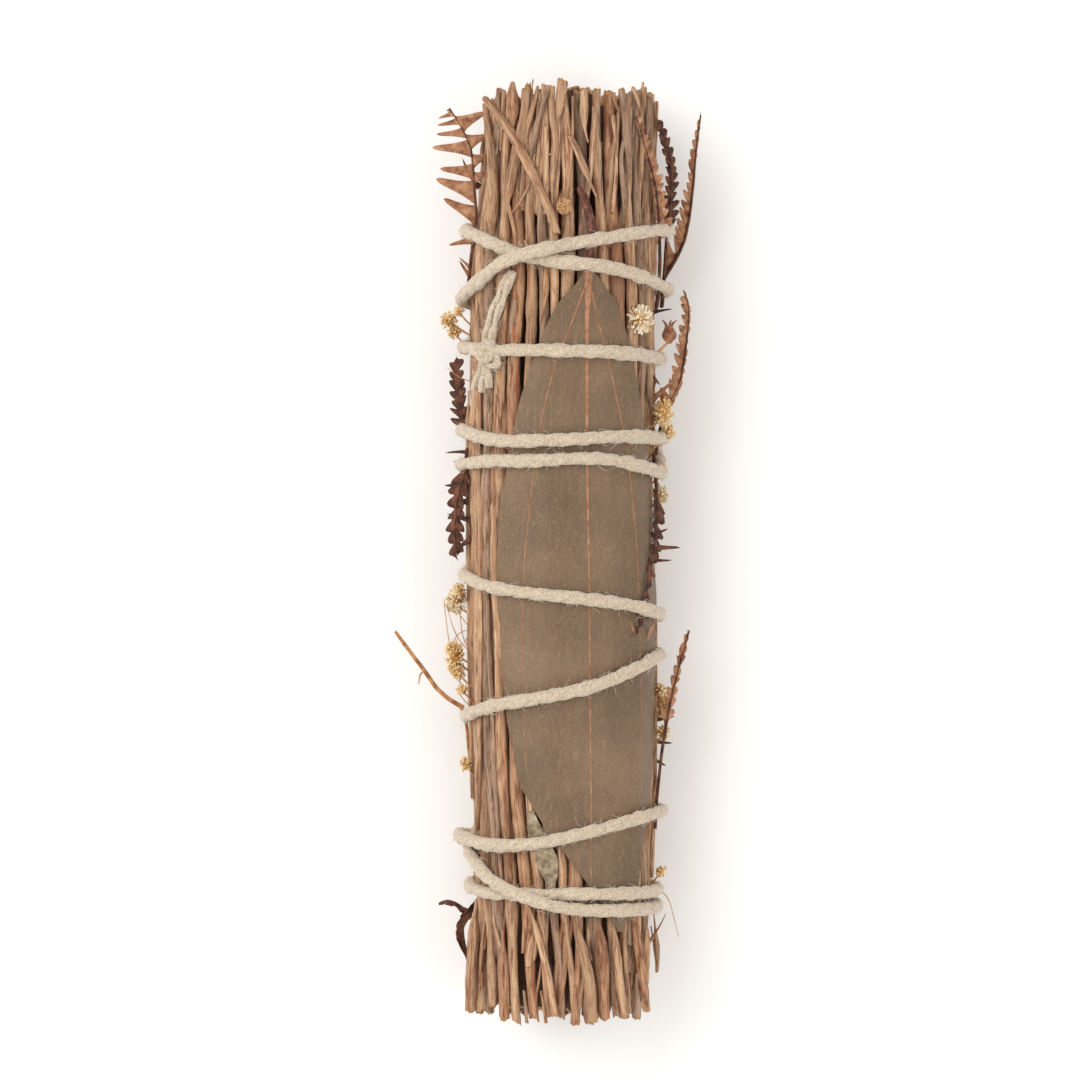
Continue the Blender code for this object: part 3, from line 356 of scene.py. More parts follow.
def model(parts, data=None):
    """Turns planned rods into modelling data: one long grid, cut apart between the rods."""
    data = data or bmesh.new()
    if data.verts.layers.float_vector.get("grain") is None:
        data.verts.layers.float_vector.new("grain")
    for columns in sorted({places.shape[1] for places, grain, skins in parts}):
        same = [part for part in parts if part[0].shape[1] == columns]
        places = np.concatenate([part[0] for part in same])
        grain = np.concatenate([part[1] for part in same])
        skins = np.concatenate([part[2] for part in same])
        breaks = set((np.cumsum([len(part[0]) for part in same]) - 1).tolist())
        strip = bmesh.new()
        mark = strip.verts.layers.float_vector.new("grain")
        last = len(places) - 1
        made = bmesh.ops.create_grid(strip, x_segments=columns - 1, y_segments=last, size=0.5)["verts"]
        apart = set()
        for corner in made:
            row = round((corner.co.y + 0.5) * last)
            column = round((corner.co.x + 0.5) * (columns - 1))
            corner.index = row
            corner[mark] = grain[row, column]
            corner.co = places[row, column]
            if skins[row]:
                for face in corner.link_faces:
                    face.material_index = max(int(skins[row]), face.material_index)
        for face in strip.faces:
            rows = [corner.index for corner in face.verts]
            if min(rows) in breaks and max(rows) > min(rows):
                apart.add(face)
        bmesh.ops.delete(strip, geom=list(apart), context="FACES")
        bmesh.ops.remove_doubles(strip, verts=strip.verts, dist=0.0004)
        bmesh.ops.recalc_face_normals(strip, faces=strip.faces)
        pour(strip, data)
    return data


def pour(source, data):
    """Adds one lot of modelling data to another."""
    hold = bpy.data.meshes.new("hold")
    source.to_mesh(hold)
    source.free()
    data.from_mesh(hold)
    bpy.data.meshes.remove(hold)


def finish(name, data, materials, stands_for=(), sharp=50.0):
    """Turns planned rods or modelling data into a finished piece that rides on the bundle."""
    if isinstance(data, list):
        data = model(data)
    bmesh.ops.scale(data, vec=Vector((MM, MM, MM)), verts=data.verts)
    mesh = bpy.data.meshes.new(name)
    data.to_mesh(mesh)
    data.free()
    for face in mesh.polygons:
        face.use_smooth = True
    mesh.set_sharp_from_angle(angle=math.radians(sharp))
    for material in materials:
        mesh.materials.append(material)
    item = bpy.data.objects.new(name, mesh)
    bpy.context.scene.collection.objects.link(item)
    if stands_for:
        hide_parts(*stands_for)
    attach(item, "root")
    return item


# The mass of twigs

def node_points(name):
    """The different corners of a CAD node, in millimetres."""
    mesh = NODES[name].data
    flat = np.empty(len(mesh.vertices) * 3, np.float32)
    mesh.vertices.foreach_get("co", flat)
    return np.unique(np.round(flat.reshape(-1, 3) / MM, 3), axis=0)


def stem_line(name, step):
    """Middle line and radii of a CAD stem, taken from its rings and made smooth."""
    points = node_points(name)
    points = points[np.argsort(points[:, 1])]
    rings = np.split(points, np.nonzero(np.diff(points[:, 1]) > 1.6)[0] + 1)
    middle = np.array([ring.mean(axis=0) for ring in rings])
    size = np.array([
        np.hypot(ring[:, 0] - centre[0], ring[:, 2] - centre[2]).mean()
        for ring, centre in zip(rings, middle)
    ])
    ys = np.linspace(middle[0, 1], middle[-1, 1], int((middle[-1, 1] - middle[0, 1]) / step) + 1)
    table = np.stack([middle[:, 0], middle[:, 2], size], axis=1)
    x, z, size = eased(table, ys, 8, middle[:, 1])
    return np.stack([x, ys, z], axis=1), size


def bark_form(seed, depth, knots):
    """How a twig's outline swells: long ridges, slow lumps, and knots (place, side, swell)."""
    ridges = 3 + seed % 3

    def form(length, turn):
        swell = 1.0 + depth * np.cos(ridges * turn + 0.06 * length + seed)
        swell = swell + 0.6 * depth * np.cos((ridges + 3) * turn - 0.09 * length + 2.3 * seed)
        swell = swell + 0.05 * np.sin(0.31 * length + seed) + 0.04 * np.sin(0.87 * length + 1.7 * seed)
        swell = swell + 0.03 * np.sin(2.1 * length + 5.0 * np.cos(turn) + seed)
        for place, side, height in knots:
            bulge = np.exp(-(((length - place) / 1.1) ** 2))
            swell = swell + height * bulge * (0.35 + 0.65 * np.maximum(np.cos(turn - side), 0.0) ** 2)
        return swell

    return form


# The girth: how far the bundle reaches from its middle in each direction, at rows 1 mm apart
GIRTH_DIRECTIONS = np.radians(np.arange(0.0, 360.0, 3.75))
GIRTH_NORMALS = np.stack([np.cos(GIRTH_DIRECTIONS), np.sin(GIRTH_DIRECTIONS)], axis=1)
GIRTH_ROWS = np.arange(-78.0, 78.5, 1.0)
girth = np.full((len(GIRTH_ROWS), len(GIRTH_DIRECTIONS)), -99.0)
# The left and right edge of the twigs down the bundle: y, left, right
STEM_EDGES = (
    (-76.0, -12.7, 15.7), (-64.0, -11.6, 16.5), (-56.0, -11.5, 17.1), (-40.0, -12.1, 17.1),
    (-30.0, -11.9, 16.8), (-11.0, -12.6, 17.1), (8.2, -12.9, 17.0), (24.2, -12.7, 17.0),
    (43.4, -13.0, 17.7), (49.8, -12.2, 17.8), (64.0, -10.6, 17.3), (76.0, -10.0, 17.4),
)


def girth_centre(y):
    """The middle of the bundle at y that its girth is measured from."""
    ys, left, right = zip(*STEM_EDGES)
    return np.array([(np.interp(y, ys, left) + np.interp(y, ys, right)) / 2.0, MIDDLE_HEIGHT])


def add_to_girth(points, reach_along):
    """Takes points into the girth of the rows near them."""
    points = np.asarray(points, dtype=float)
    for row, y in enumerate(GIRTH_ROWS):
        near = points[np.abs(points[:, 1] - y) <= reach_along]
        if len(near):
            flat = near[:, (0, 2)] - girth_centre(y)
            girth[row] = np.maximum(girth[row], (flat @ GIRTH_NORMALS.T).max(axis=0))


def girth_at(y):
    """Girth in every direction at y, from the rows on both sides."""
    place = y - GIRTH_ROWS[0]
    low = int(min(max(math.floor(place), 0), len(GIRTH_ROWS) - 2))
    share = min(max(place - low, 0.0), 1.0)
    return girth[low] * (1.0 - share) + girth[low + 1] * share


def reach(y, angle, extra):
    """Distance from the middle to the taut skin over the bundle, and its outward direction."""
    cosine = np.cos(GIRTH_DIRECTIONS - angle)
    ahead = cosine > 0.05
    lengths = (girth_at(y)[ahead] + extra) / cosine[ahead]
    best = int(np.argmin(lengths))
    return float(lengths[best]), float(GIRTH_DIRECTIONS[ahead][best])


def skin_height(x, y, extra):
    """Height of the taut skin over x on the front of the bundle."""
    centre = girth_centre(y)
    up = GIRTH_NORMALS[:, 1] > 0.12
    heights = (girth_at(y)[up] + extra - (x - centre[0]) * GIRTH_NORMALS[up, 0]) / GIRTH_NORMALS[up, 1]
    return float(heights.min() + centre[1])


def from_middle(point, extra):
    """The middle beside a point, the way from there to the point and how far the skin is."""
    centre = girth_centre(point[1])
    out = np.array([point[0], point[2]]) - centre
    return centre, out, reach(point[1], math.atan2(out[1], out[0]), extra)[0]


def clear_of_bundle(point, extra):
    """Moves a point outwards until it is clear of the skin over the bundle."""
    centre, out, needed = from_middle(point, extra)
    distance = float(np.hypot(out[0], out[1]))
    if distance < needed:
        out = out * needed / distance
    return np.array([centre[0] + out[0], point[1], centre[1] + out[1]])


def on_the_skin(point, extra=-0.3):
    """The place on the skin over the bundle that lies straight inwards from a point."""
    centre, out, held = from_middle(point, extra)
    out = unit(out) * held
    return np.array([centre[0] + out[0], point[1], centre[1] + out[1]])


def twig_knots(length, number):
    """Places, sides and heights of a twig's knots."""
    return [
        (chance.uniform(4.0, length - 4.0), chance.uniform(0.0, 6.28), chance.uniform(0.10, 0.34))
        for k in range(number)
    ]


def dress_stems(barks, wood):
    """Replaces every CAD stem by a twig with ridges, knots, side stubs and torn ends."""
    names = sorted(name for name in NODES if "_stem_" in name)
    order = [name for kind in ("front", "back", "core") for name in names if name.startswith(kind)]
    turn = np.arange(0.0, 6.28, 0.35)
    ring = np.stack([np.cos(turn), np.zeros_like(turn), np.sin(turn)], axis=1)
    for number, name in enumerate(order):
        core = name.startswith("core")
        # core twigs take the darker fourth bark, painted shade for the shade deep inside the bundle
        tone = 3 if core else (0, 0, 1, 0, 2, 0, 1)[number % 7]
        line, radii = stem_line(name, 1.3)
        add_to_girth((line[:, None, :] + ring[None] * radii[:, None, None]).reshape(-1, 3), 1.3)
        knots = twig_knots(150.0, 2 if core else 7)
        length = line[:, 1] - line[0, 1]
        sway = (0.20 * np.sin(0.19 * length + number), 0.15 * np.sin(0.17 * length + 2.0 * number))
        wander = np.stack([sway[0], 0.0 * length, sway[1]], axis=1)
        slender = 1.0 - 0.30 * np.clip((np.abs(line[:, 1] + 3.0) - 53.0) / 6.0, 0.0, 1.0)
        radii = radii * 0.98 * slender
        data = []
        rod(data, line + wander, radii, 10 if core else 16, bark_form(number, 0.045, knots),
            ("snapped", "snapped"), 0.28, (0, 1), 31.0 * number)
        for place, side, height in knots:
            k = int(np.argmin(np.abs(length - place)))
            under_leaf = line[k][0] > -8.0 and abs(line[k][1] + 7.0) < 53.0
            if core or height < 0.22 or under_leaf:
                continue
            out = np.array([math.cos(side), 0.0, math.sin(side)])
            lean = np.array([0.0, 1.4, 0.0])
            root = line[k] + wander[k] + out * radii[k] * 0.6
            points = [root, root + (out + lean * 0.5) * 0.5, root + (out + lean) * 0.85]
            size = 0.34 * radii[k]
            rod(data, points, [size * 1.3, size, size * 0.9], 8, None,
                ("round", "snapped"), 0.15, (0, 1), place)
        finish(name + "_bark", data, [barks[tone], wood], (name,))


# The slanting stem over the front row: x, y, radius
SLANTING_STEM = (
    (-10.1, 72.7, 0.50), (-8.0, 69.8, 0.60), (-5.8, 66.6, 0.65), (-3.5, 62.2, 0.70),
    (-1.3, 57.8, 0.70), (0.9, 52.6, 0.70), (1.4, 50.6, 0.60),
)

# A side twig cut off short, its round end facing up: x, y, radius
CUT_STUB = (2.6, 55.0, 1.4)

# Number of thin twigs in the gaps that the photograph doesn't show
GUESSED_TWIGS = 150

# Thin twigs seen at the ends of the bundle: tone, how far below the skin, then pixels of
# the photograph and the width there, in pixels
THIN_TWIGS = (
    (0, 0.5, ((485, 102, 6), (489, 131, 9), (492, 160, 11), (493, 200, 12), (492, 245, 12))),
    (1, 0.7, ((498, 93, 4), (500, 124, 4), (497, 156, 5), (492, 168, 4))),
    (0, 1.0, ((504, 90, 4), (503, 118, 5), (500, 150, 4))),
    (2, 0.9, ((513, 83, 5), (514, 96, 11), (514, 116, 12), (512, 140, 10))),
    (0, 0.8, ((526, 91, 9), (525, 114, 9), (519, 140, 10), (512, 175, 10), (506, 215, 9))),
    (0, 0.5, ((538, 88, 3), (534, 104, 6), (530, 120, 5), (525, 142, 4), (519, 165, 4))),
    (2, 0.3, ((533, 81, 2), (533, 92, 2), (531, 110, 2))),
    (1, 0.4, ((549, 92, 4), (541, 112, 5), (536, 132, 6), (531, 158, 6), (528, 175, 4))),
    (0, 0.1, ((553, 89, 4), (551, 117, 7), (555, 135, 6), (556, 150, 6), (552, 180, 6), (552, 206, 5))),
    (0, 0.9, ((563, 83, 11), (561, 100, 11), (557, 124, 9), (555, 138, 6))),
    (0, 0.8, ((546, 128, 6), (546, 150, 6), (546, 190, 7), (545, 215, 7))),
    (0, 0.5, ((533, 157, 3), (543, 156, 4), (553, 156, 3))),
    (0, 0.3, ((570, 138, 5), (577, 152, 7), (583, 168, 7), (589, 182, 7), (596, 198, 6))),
    (0, 0.6, ((584, 92, 7), (584, 112, 8), (584, 131, 8), (588, 144, 4))),
    (0, 0.5, ((613, 95, 6), (615, 104, 7), (619, 114, 5))),
    (0, 0.6, ((613, 117, 4), (614, 135, 4), (617, 158, 4))),
    (1, 0.3, ((624, 140, 4), (620, 156, 5), (621, 170, 5), (624, 193, 5), (623, 228, 6))),
    (1, 0.6, ((621, 91, 7), (623, 104, 8), (626, 120, 7), (626, 138, 8), (629, 175, 7))),
    (0, 0.4, ((633, 88, 4), (638, 102, 4), (643, 119, 3), (642, 150, 5), (640, 200, 5))),
    (1, 0.7, ((650, 97, 7), (648, 118, 7), (646, 150, 6))),
    (0, 0.8, ((657, 99, 5), (656, 120, 6), (655, 146, 5), (654, 190, 6), (656, 230, 6))),
    (1, 0.4, ((489, 124, 3), (482, 140, 4), (481, 160, 5), (487, 178, 3))),
    (0, 0.4, ((537, 168, 2), (530, 184, 3), (522, 202, 4), (510, 216, 3))),
    (0, 0.5, ((572, 190, 3), (569, 212, 4), (571, 236, 4))),
    (0, 0.5, ((474, 206, 5), (473, 222, 6), (472, 236, 6))),
    (2, 0.6, ((546, 264, 5), (546, 300, 6), (541, 322, 4))),
    (0, 0.4, ((507, 200, 3), (512, 220, 4), (517, 240, 5), (516, 262, 5))),
    (0, 0.6, ((476, 904, 11), (474, 930, 12), (472, 966, 13), (471, 990, 12), (470, 1013, 10))),
    (1, 0.3, ((486, 972, 2), (488, 992, 2), (489, 1015, 1.5))),
    (0, 0.6, ((491, 935, 9), (492, 960, 10), (493, 985, 9), (493, 1006, 7))),
    (0, 0.3, ((492, 901, 4), (494, 923, 5), (500, 943, 4), (502, 950, 3))),
    (2, 0.8, ((503, 930, 9), (503, 965, 10), (504, 1000, 10), (505, 1017, 9))),
    (0, 0.2, ((528, 902, 6), (535, 922, 7), (541, 945, 7), (547, 968, 8), (550, 985, 8), (555, 1013, 8))),
    (2, 1.2, ((541, 990, 7), (545, 1010, 6), (546, 1021, 4))),
    (1, 1.2, ((524, 990, 8), (526, 1008, 8), (527, 1021, 5))),
    (0, 0.2, ((575, 913, 9), (580, 940, 10), (587, 966, 11), (591, 995, 11), (593, 1018, 10))),
    (2, 1.3, ((575, 985, 10), (575, 1004, 11), (575, 1021, 10))),
    (2, 0.6, ((598, 913, 10), (601, 945, 12), (603, 985, 12), (604, 1015, 11))),
    (0, 0.2, ((613, 915, 5), (615, 945, 8), (618, 970, 9), (621, 995, 9), (625, 1015, 8))),
    (0, 0.4, ((622, 925, 6), (625, 960, 6), (627, 990, 6), (629, 1013, 5))),
    (2, 0.3, ((632, 913, 9), (637, 945, 10), (643, 980, 10), (647, 1012, 8))),
    (1, 0.9, ((637, 975, 9), (637, 1000, 10), (637, 1019, 9))),
    (0, 0.6, ((646, 913, 7), (647, 945, 8), (646, 985, 6))),
    (0, 0.5, ((655, 918, 5), (657, 940, 6), (659, 960, 5), (658, 976, 3))),
    (1, 0.5, ((652, 930, 4), (655, 950, 4), (658, 968, 3))),
    (2, 0.2, ((650, 945, 4), (657, 936, 5), (663, 928, 5), (667, 917, 2))),
    (1, 0.2, ((587, 940, 5), (589, 948, 6), (591, 958, 4))),
    (0, 0.3, ((478, 300, 5), (479, 400, 5), (480, 500, 5), (481, 600, 5), (480, 700, 6),
     (478, 800, 6), (476, 880, 6))),
    (2, 0.4, ((496, 395, 4), (493, 470, 5), (497, 560, 5), (500, 650, 6), (503, 720, 6),
     (506, 800, 6), (511, 880, 5))),
    (1, 0.3, ((487, 570, 4), (489, 650, 4), (493, 720, 5), (495, 780, 5), (499, 840, 4), (502, 880, 4))),
    (0, 0.5, ((468, 390, 5), (467, 470, 5), (468, 560, 5), (469, 650, 5), (471, 740, 5), (472, 800, 4))),
    (2, 0.5, ((506, 300, 4), (504, 340, 5), (503, 390, 5), (500, 430, 4))),
    (1, 0.5, ((515, 300, 4), (512, 330, 5), (509, 370, 4), (508, 400, 3))),
    (0, 0.4, ((655, 560, 4), (656, 640, 5), (656, 720, 5), (655, 800, 5), (652, 880, 5))),
    (1, 0.5, ((640, 290, 4), (645, 340, 4), (650, 390, 5), (655, 440, 4), (657, 500, 4))),
)


def free_of_string(x, y):
    """0 where a pass of the string presses on the front of the bundle, 1 well away from it."""
    gaps = [abs(float(np.interp(x, *zip(*passing))) - y) for passing in FRONT_PASSES.values()]
    return min(max((min(gaps) - 1.4) / 3.0, 0.0), 1.0)


def photo_twig(places, below):
    """Line and radii of a twig from pixels; it lies on the twigs and dips under the string."""
    marks = np.array([(*photo_xy(px, py), width * PIXEL / 2.0) for px, py, width in places])
    steps = distances(marks[:, :2])
    at = np.linspace(0.0, steps[-1], max(int(steps[-1] / 0.9), 5))
    x, y, size = eased(marks, at, 3, steps)
    lift = [free_of_string(a, b) * (1.75 * r - 0.5 * below) - r for a, b, r in zip(x, y, size)]
    z = smooth([max(skin_height(a, b, up), MIDDLE_HEIGHT) for a, b, up in zip(x, y, lift)], 4)
    line = [clear_of_bundle(place, up) for place, up in zip(zip(x, y, z), lift)]
    return np.array(line), size


def dress_thin_twigs(barks, wood):
    """The slanting stem, the thin twigs seen in the photograph, and more in the hidden gaps."""
    points = np.array([(x, y, skin_height(x, y, size + 0.35)) for x, y, size in SLANTING_STEM])
    at = np.linspace(0, len(points) - 1, 30)
    line = np.stack(eased(points, at, 2), axis=1)
    size = np.interp(at, range(len(points)), [row[2] for row in SLANTING_STEM])
    data = []
    form = bark_form(4, 0.06, [(9.0, 1.0, 0.3)])
    rod(data, line, size, 12, form, ("snapped", "cut"), 0.2, (0, 1), 7.0)
    finish("slanting_stem_bark", data, [barks[0], wood], ("slanting_stem",))

    slots = ("tan_bark", "grey_bark", "red_bark")
    groups = [[] for tone in slots]
    x, y, size = CUT_STUB
    top = skin_height(x, y, 0.5)
    steps = ((0.2, 1.6, 3.0), (0.1, 0.6, 1.4), (0.0, 0.1, 0.5), (0.0, 0.0, 0.0))
    line = [(x + right, y + back, top - down) for right, back, down in steps]
    widths = [size * 1.05, size, size, size * 0.97]
    rod(groups[0], line, widths, 18, bark_form(2, 0.05, []), ("round", "cut"), 0.06, (0, 1), 3.0)
    for number, (tone, below, places) in enumerate(THIN_TWIGS):
        line, size = photo_twig(places, below)
        form = bark_form(number, 0.06, twig_knots(30.0, 2))
        outer = abs(line[0][1] + 3.0) > abs(line[-1][1] + 3.0)
        taper = np.clip(np.arange(len(line)) / 5.0, 0.35, 1.0)
        size = size * (taper[::-1] if outer else taper)
        ends = ("snapped", "tip") if outer else ("tip", "snapped")
        rod(groups[tone], line, size, 10, form, ends, 0.25, (0, 1), 13.0 * number)
    for number in range(GUESSED_TWIGS):
        tone = (0, 1, 0, 2, 1, 0)[number % 6]
        angle = chance.uniform(0.0, 2.0 * math.pi)
        upper = number % 2 == 0
        start = chance.uniform(46.0, 58.0) if upper else chance.uniform(-72.0, -60.0)
        stop = chance.uniform(68.0, 74.5) if upper else chance.uniform(-48.0, -40.0)
        if number % 5 == 0:
            start, stop = -45.0 + chance.uniform(-8, 8), 45.0 + chance.uniform(-8, 8)
        ys = np.arange(start, stop, 1.6)
        if not upper and number % 5:
            ys = ys - 2.5
        slant = chance.uniform(-0.009, 0.009)
        depth = chance.uniform(0.3, 1.5)
        size = chance.uniform(0.22, 0.55)
        line = []
        for y in ys:
            turn = angle + slant * (y - start) + 0.015 * math.sin(0.3 * y + number)
            free = min(max((abs(y + 3.0) - 56.0) / 5.0, 0.0), 1.0)
            distance = reach(y, turn, -depth + free * min(depth, 0.9))[0] - size
            centre = girth_centre(y)
            line.append((centre[0] + distance * math.cos(turn), y, centre[1] + distance * math.sin(turn)))
        line = np.stack([smooth(column, 3) for column in np.array(line).T], axis=1)
        radii = size * np.linspace(1.0, 0.75, len(line))
        form = bark_form(number + 3, 0.06, twig_knots(max(len(ys) * 1.6, 9.0), 2))
        ends = ("tip", "snapped") if upper else ("snapped", "tip")
        rod(groups[tone], line, radii, 7, form, ends, 0.25, (0, 1), 5.0 * number)
    for data, bark, slot in zip(groups, barks, slots):
        finish("thin_twigs_" + slot.split("_")[0], data, [bark, wood], ())


# Leaves

# Edges of the bay leaf down the bundle: y, left, right
BAY_LEAF = (
    (44.6, 5.7, 7.4), (43.3, 4.9, 8.4), (42.0, 3.9, 9.3), (40.2, 1.9, 10.7), (35.4, -0.5, 12.5),
    (30.3, -2.6, 13.7), (24.2, -4.5, 14.8), (17.8, -5.8, 15.8), (12.0, -7.0, 16.4),
    (6.0, -7.9, 16.9), (0.0, -8.2, 17.2), (-8.0, -8.2, 17.3), (-17.0, -7.7, 17.2),
    (-25.0, -6.8, 17.1), (-32.0, -5.7, 16.9), (-37.4, -4.5, 16.6), (-41.5, -2.0, 16.1),
    (-45.5, 0.5, 15.4), (-49.0, 3.4, 14.9), (-53.7, 6.7, 14.4), (-57.5, 9.6, 13.0), (-60.7, 11.2, 12.2),
)
GREY_LEAF = (
    (-41.4, -3.4, -2.3), (-43.4, -3.4, -1.4), (-46.0, -3.1, 0.1),
    (-49.0, -2.2, 1.7), (-51.6, -1.0, 1.6), (-53.8, 0.4, 1.0),
)
LEAF_STALK = (
    (5.0, 57.8, 0.75), (5.6, 56.2, 0.8), (6.4, 53.8, 0.72), (6.9, 51.1, 0.68),
    (6.7, 48.2, 0.62), (6.6, 44.7, 0.5), (6.4, 43.0, 0.4),
)
# Main veins of the bay leaf: x, y and radius
LEAF_VEINS = (
    (
        (6.5, 45.6, 1.15), (6.4, 42.0, 0.85), (6.2, 37.0, 0.55), (6.2, 30.0, 0.45), (6.2, 16.2, 0.34),
         (6.4, 5.0, 0.25), (6.6, -7.8, 0.22),
        (6.7, -23.8, 0.20), (6.9, -39.8, 0.17), (6.9, -52.6, 0.13),
    ),
    (
        (6.3, 43.4, 0.20), (4.3, 37.8, 0.20), (2.6, 33.5, 0.18), (1.3, 30.3, 0.17), (-0.2, 25.0, 0.16),
        (-1.3, 19.4, 0.15), (-2.2, 13.8, 0.15), (-3.0, 6.6, 0.14), (-3.8, -1.4, 0.13), (-4.0, -7.8, 0.12),
        (-4.0, -15.8, 0.11), (-3.8, -23.8, 0.10), (-3.7, -31.0, 0.09), (-3.5, -35.0, 0.06),
    ),
    (
        (6.6, 43.0, 0.20), (8.3, 35.4, 0.18), (9.8, 29.8, 0.17), (11.0, 24.2, 0.16), (12.2, 18.6, 0.15),
        (13.1, 12.2, 0.14), (13.9, 5.0, 0.13), (14.4, -3.0, 0.12), (14.7, -14.2, 0.11),
        (14.9, -23.8, 0.09), (15.0, -33.4, 0.06),
    ),
)
# The veins stand out over the middle share of their width only
VEIN_SHARE = 0.66
# Height of the bay leaf's underside over the skin of the bundle
LEAF_LIFT = 0.32


def leaf_top(x, y):
    """Height of the bay leaf's face: it bridges the twigs and dips a little between them."""
    swell = 0.12 * noise.noise(Vector((x * 0.16, y * 0.05, 3.0)))
    return skin_height(x, y, LEAF_LIFT) + 0.18 + swell


def lay_leaf(name, edges, columns, rows, top, thickness, materials, node, veins=()):
    """A thin leaf over the front of the bundle, its face following top(x, y)."""
    index = np.linspace(0.0, len(edges) - 1.0, rows + 1)
    ys, left, right = eased(edges, index, 3)
    ragged = smooth(chance.normal(0.0, 0.10, rows + 1), 1)
    data = bmesh.new()
    made = bmesh.ops.create_grid(data, x_segments=columns, y_segments=rows, size=0.5)["verts"]
    for corner in made:
        row = round((corner.co.y + 0.5) * rows)
        share = corner.co.x + 0.5
        width = right[row] - left[row]
        x = left[row] + width * share + ragged[row] * min(width / 6.0, 1.0) * abs(2.0 * share - 1.0) ** 6
        corner.co = (x, ys[row], top(x, ys[row]))
    bmesh.ops.recalc_face_normals(data, faces=data.faces)
    if sum(face.normal.z for face in data.faces) < 0.0:
        bmesh.ops.reverse_faces(data, faces=data.faces)
    bmesh.ops.solidify(data, geom=data.faces[:], thickness=thickness)
    parts = []
    for vein in veins:
        x, y, size = eased(vein, np.linspace(0, len(vein) - 1, len(vein) * 7), 4)
        line = [(a, b, top(a, b) + 0.02) for a, b in zip(x, y)]
        rod(parts, line, size * VEIN_SHARE, 8, None, ("tip", "tip"), 0.0, (1, 1), 0.0, 0.0, 0.5)
    model(parts, data)
    return finish(name, data, materials, (node,), 60.0)


def dress_leaves():
    """The bay leaf with its veins and stalk, and the small grey leaf beside its tip."""
    skin = bay_skin()
    vein = dry_tissue("leaf_vein", "#85573c", "#9c6c4b", "#b38463", 0.6)
    stalk = dry_tissue("leaf_stalk", "#3a1c13", "#5c2f21", "#855440", 0.6)
    grey = dry_tissue("grey_leaf_felt", "#5f523f", "#8b7b63", "#b3a286", 0.9)
    bay = lay_leaf("bay_leaf_blade", BAY_LEAF, 44, 150, leaf_top, 0.22, [skin, vein], "bay_leaf",
                   LEAF_VEINS)
    x, y, size = eased(LEAF_STALK, np.linspace(0, len(LEAF_STALK) - 1, 36), 3)
    line = [(a, b, skin_height(a, b, 0.45 + 0.4 * s)) for a, b, s in zip(x, y, size)]
    data = []

    def grooved(length, turn):
        groove = np.exp(-(((turn - math.pi / 2.0) / 0.45) ** 2))
        return 1.0 - 0.28 * groove + 0.03 * np.sin(1.7 * length)

    rod(data, line, size * 0.66, 14, grooved, ("tip", "tip"), 0.1, (0, 0))
    x, y, size = x[:26] + 0.75, y[:26] - 0.8, 0.5 * size[:26]
    line = [(a, b, skin_height(a, b, 0.4 + 0.4 * s)) for a, b, s in zip(x, y, size)]
    rod(data, line, size, 10, None, ("snapped", "tip"), 0.1, (0, 0))
    finish("bay_leaf_stalk", data, [stalk], ())
    lay_leaf("grey_leaf_blade", GREY_LEAF, 6, 20, lambda x, y: skin_height(x, y, 0.25), 0.2, [grey],
             "grey_leaf")
    add_to_girth([tuple(corner.co / MM) for corner in bay.data.vertices][::3], 1.3)


# The string

# Passes of the string over the front, each from left to right: x, y
FRONT_PASSES = {
    "A": (
        (-14.1, 52.2), (-9.3, 49.4), (-4.5, 47.1), (1.9, 46.0), (8.3, 45.7), (14.7, 44.2), (19.2, 42.2),
    ),
    "B": (
        (-14.6, 40.2), (-9.3, 44.7), (-4.5, 47.1), (1.9, 48.7), (8.3, 49.8), (14.7, 51.0), (18.9, 51.8),
    ),
    "C": ((-13.8, 33.0), (-8.2, 32.1), (-1.3, 32.1), (5.1, 31.9), (11.5, 31.8), (17.6, 31.1)),
    "D": (
        (-13.6, 19.6), (-11.0, 18.1), (-6.4, 17.4), (-1.1, 17.7), (6.2, 17.9), (11.7, 18.5), (17.4, 18.2),
    ),
    "E": (
        (-13.3, 14.0), (-8.5, 14.7), (-3.4, 14.2), (2.6, 14.8), (8.0, 15.0), (13.4, 14.2), (18.1, 12.6),
    ),
    "F": (
        (-14.2, -3.4), (-10.9, -5.4), (-4.5, -6.5), (1.9, -7.1), (8.3, -7.8), (14.7, -8.7), (17.9, -10.2),
    ),
    "G": (
        (-13.4, -26.6), (-9.3, -24.6), (-1.3, -23.3), (6.7, -21.8),
        (11.5, -19.9), (15.5, -18.0), (17.6, -16.6),
    ),
    "H": (
        (-13.6, -45.8), (-10.9, -47.0), (-4.5, -47.0), (1.9, -45.8),
        (8.3, -44.2), (14.7, -42.5), (18.2, -41.7),
    ),
    "I": (
        (-13.6, -46.8), (-11.0, -50.8), (-8.5, -52.4), (-4.8, -54.2),
        (-1.1, -55.9), (4.3, -57.2), (18.6, -57.2),
    ),
    "J": (
        (-13.4, -53.5), (-11.0, -54.6), (-5.8, -54.8), (0.6, -54.5),
        (6.2, -54.5), (13.4, -54.6), (18.9, -54.5),
    ),
}
# The passes in the order in which the string takes them, how steeply each way back bends and
# whether it bends at its end
STRING_ROUTE = (
    ("C", 1.92, False), ("D", 1.78, False), ("F", 1.78, False), ("I", 1.00, False), ("J", 1.00, False),
    ("H", 1.55, False), ("G", 1.20, False), ("E", 3.65, True), ("B", 1.00, False), ("A", 5.40, False),
)
# Where two passes cross on the front, the one with the higher rank lies on top
FRONT_RANK = {"C": 0, "D": 1, "F": 2, "J": 3, "I": 4, "H": 5, "G": 6, "E": 7, "A": 8, "B": 9}
STEPS_ROUND = 28
# Share of the way back, at each of its ends, that stays level: the string climbs underneath
FLANK_SHARE = 0.14
KNOT = (-9.9, 31.9)
# A ply's radius, as a share of the yarn's width, and how far the plies stand apart
PLY_SHARE = 0.355
PLY_SPREAD = 0.95


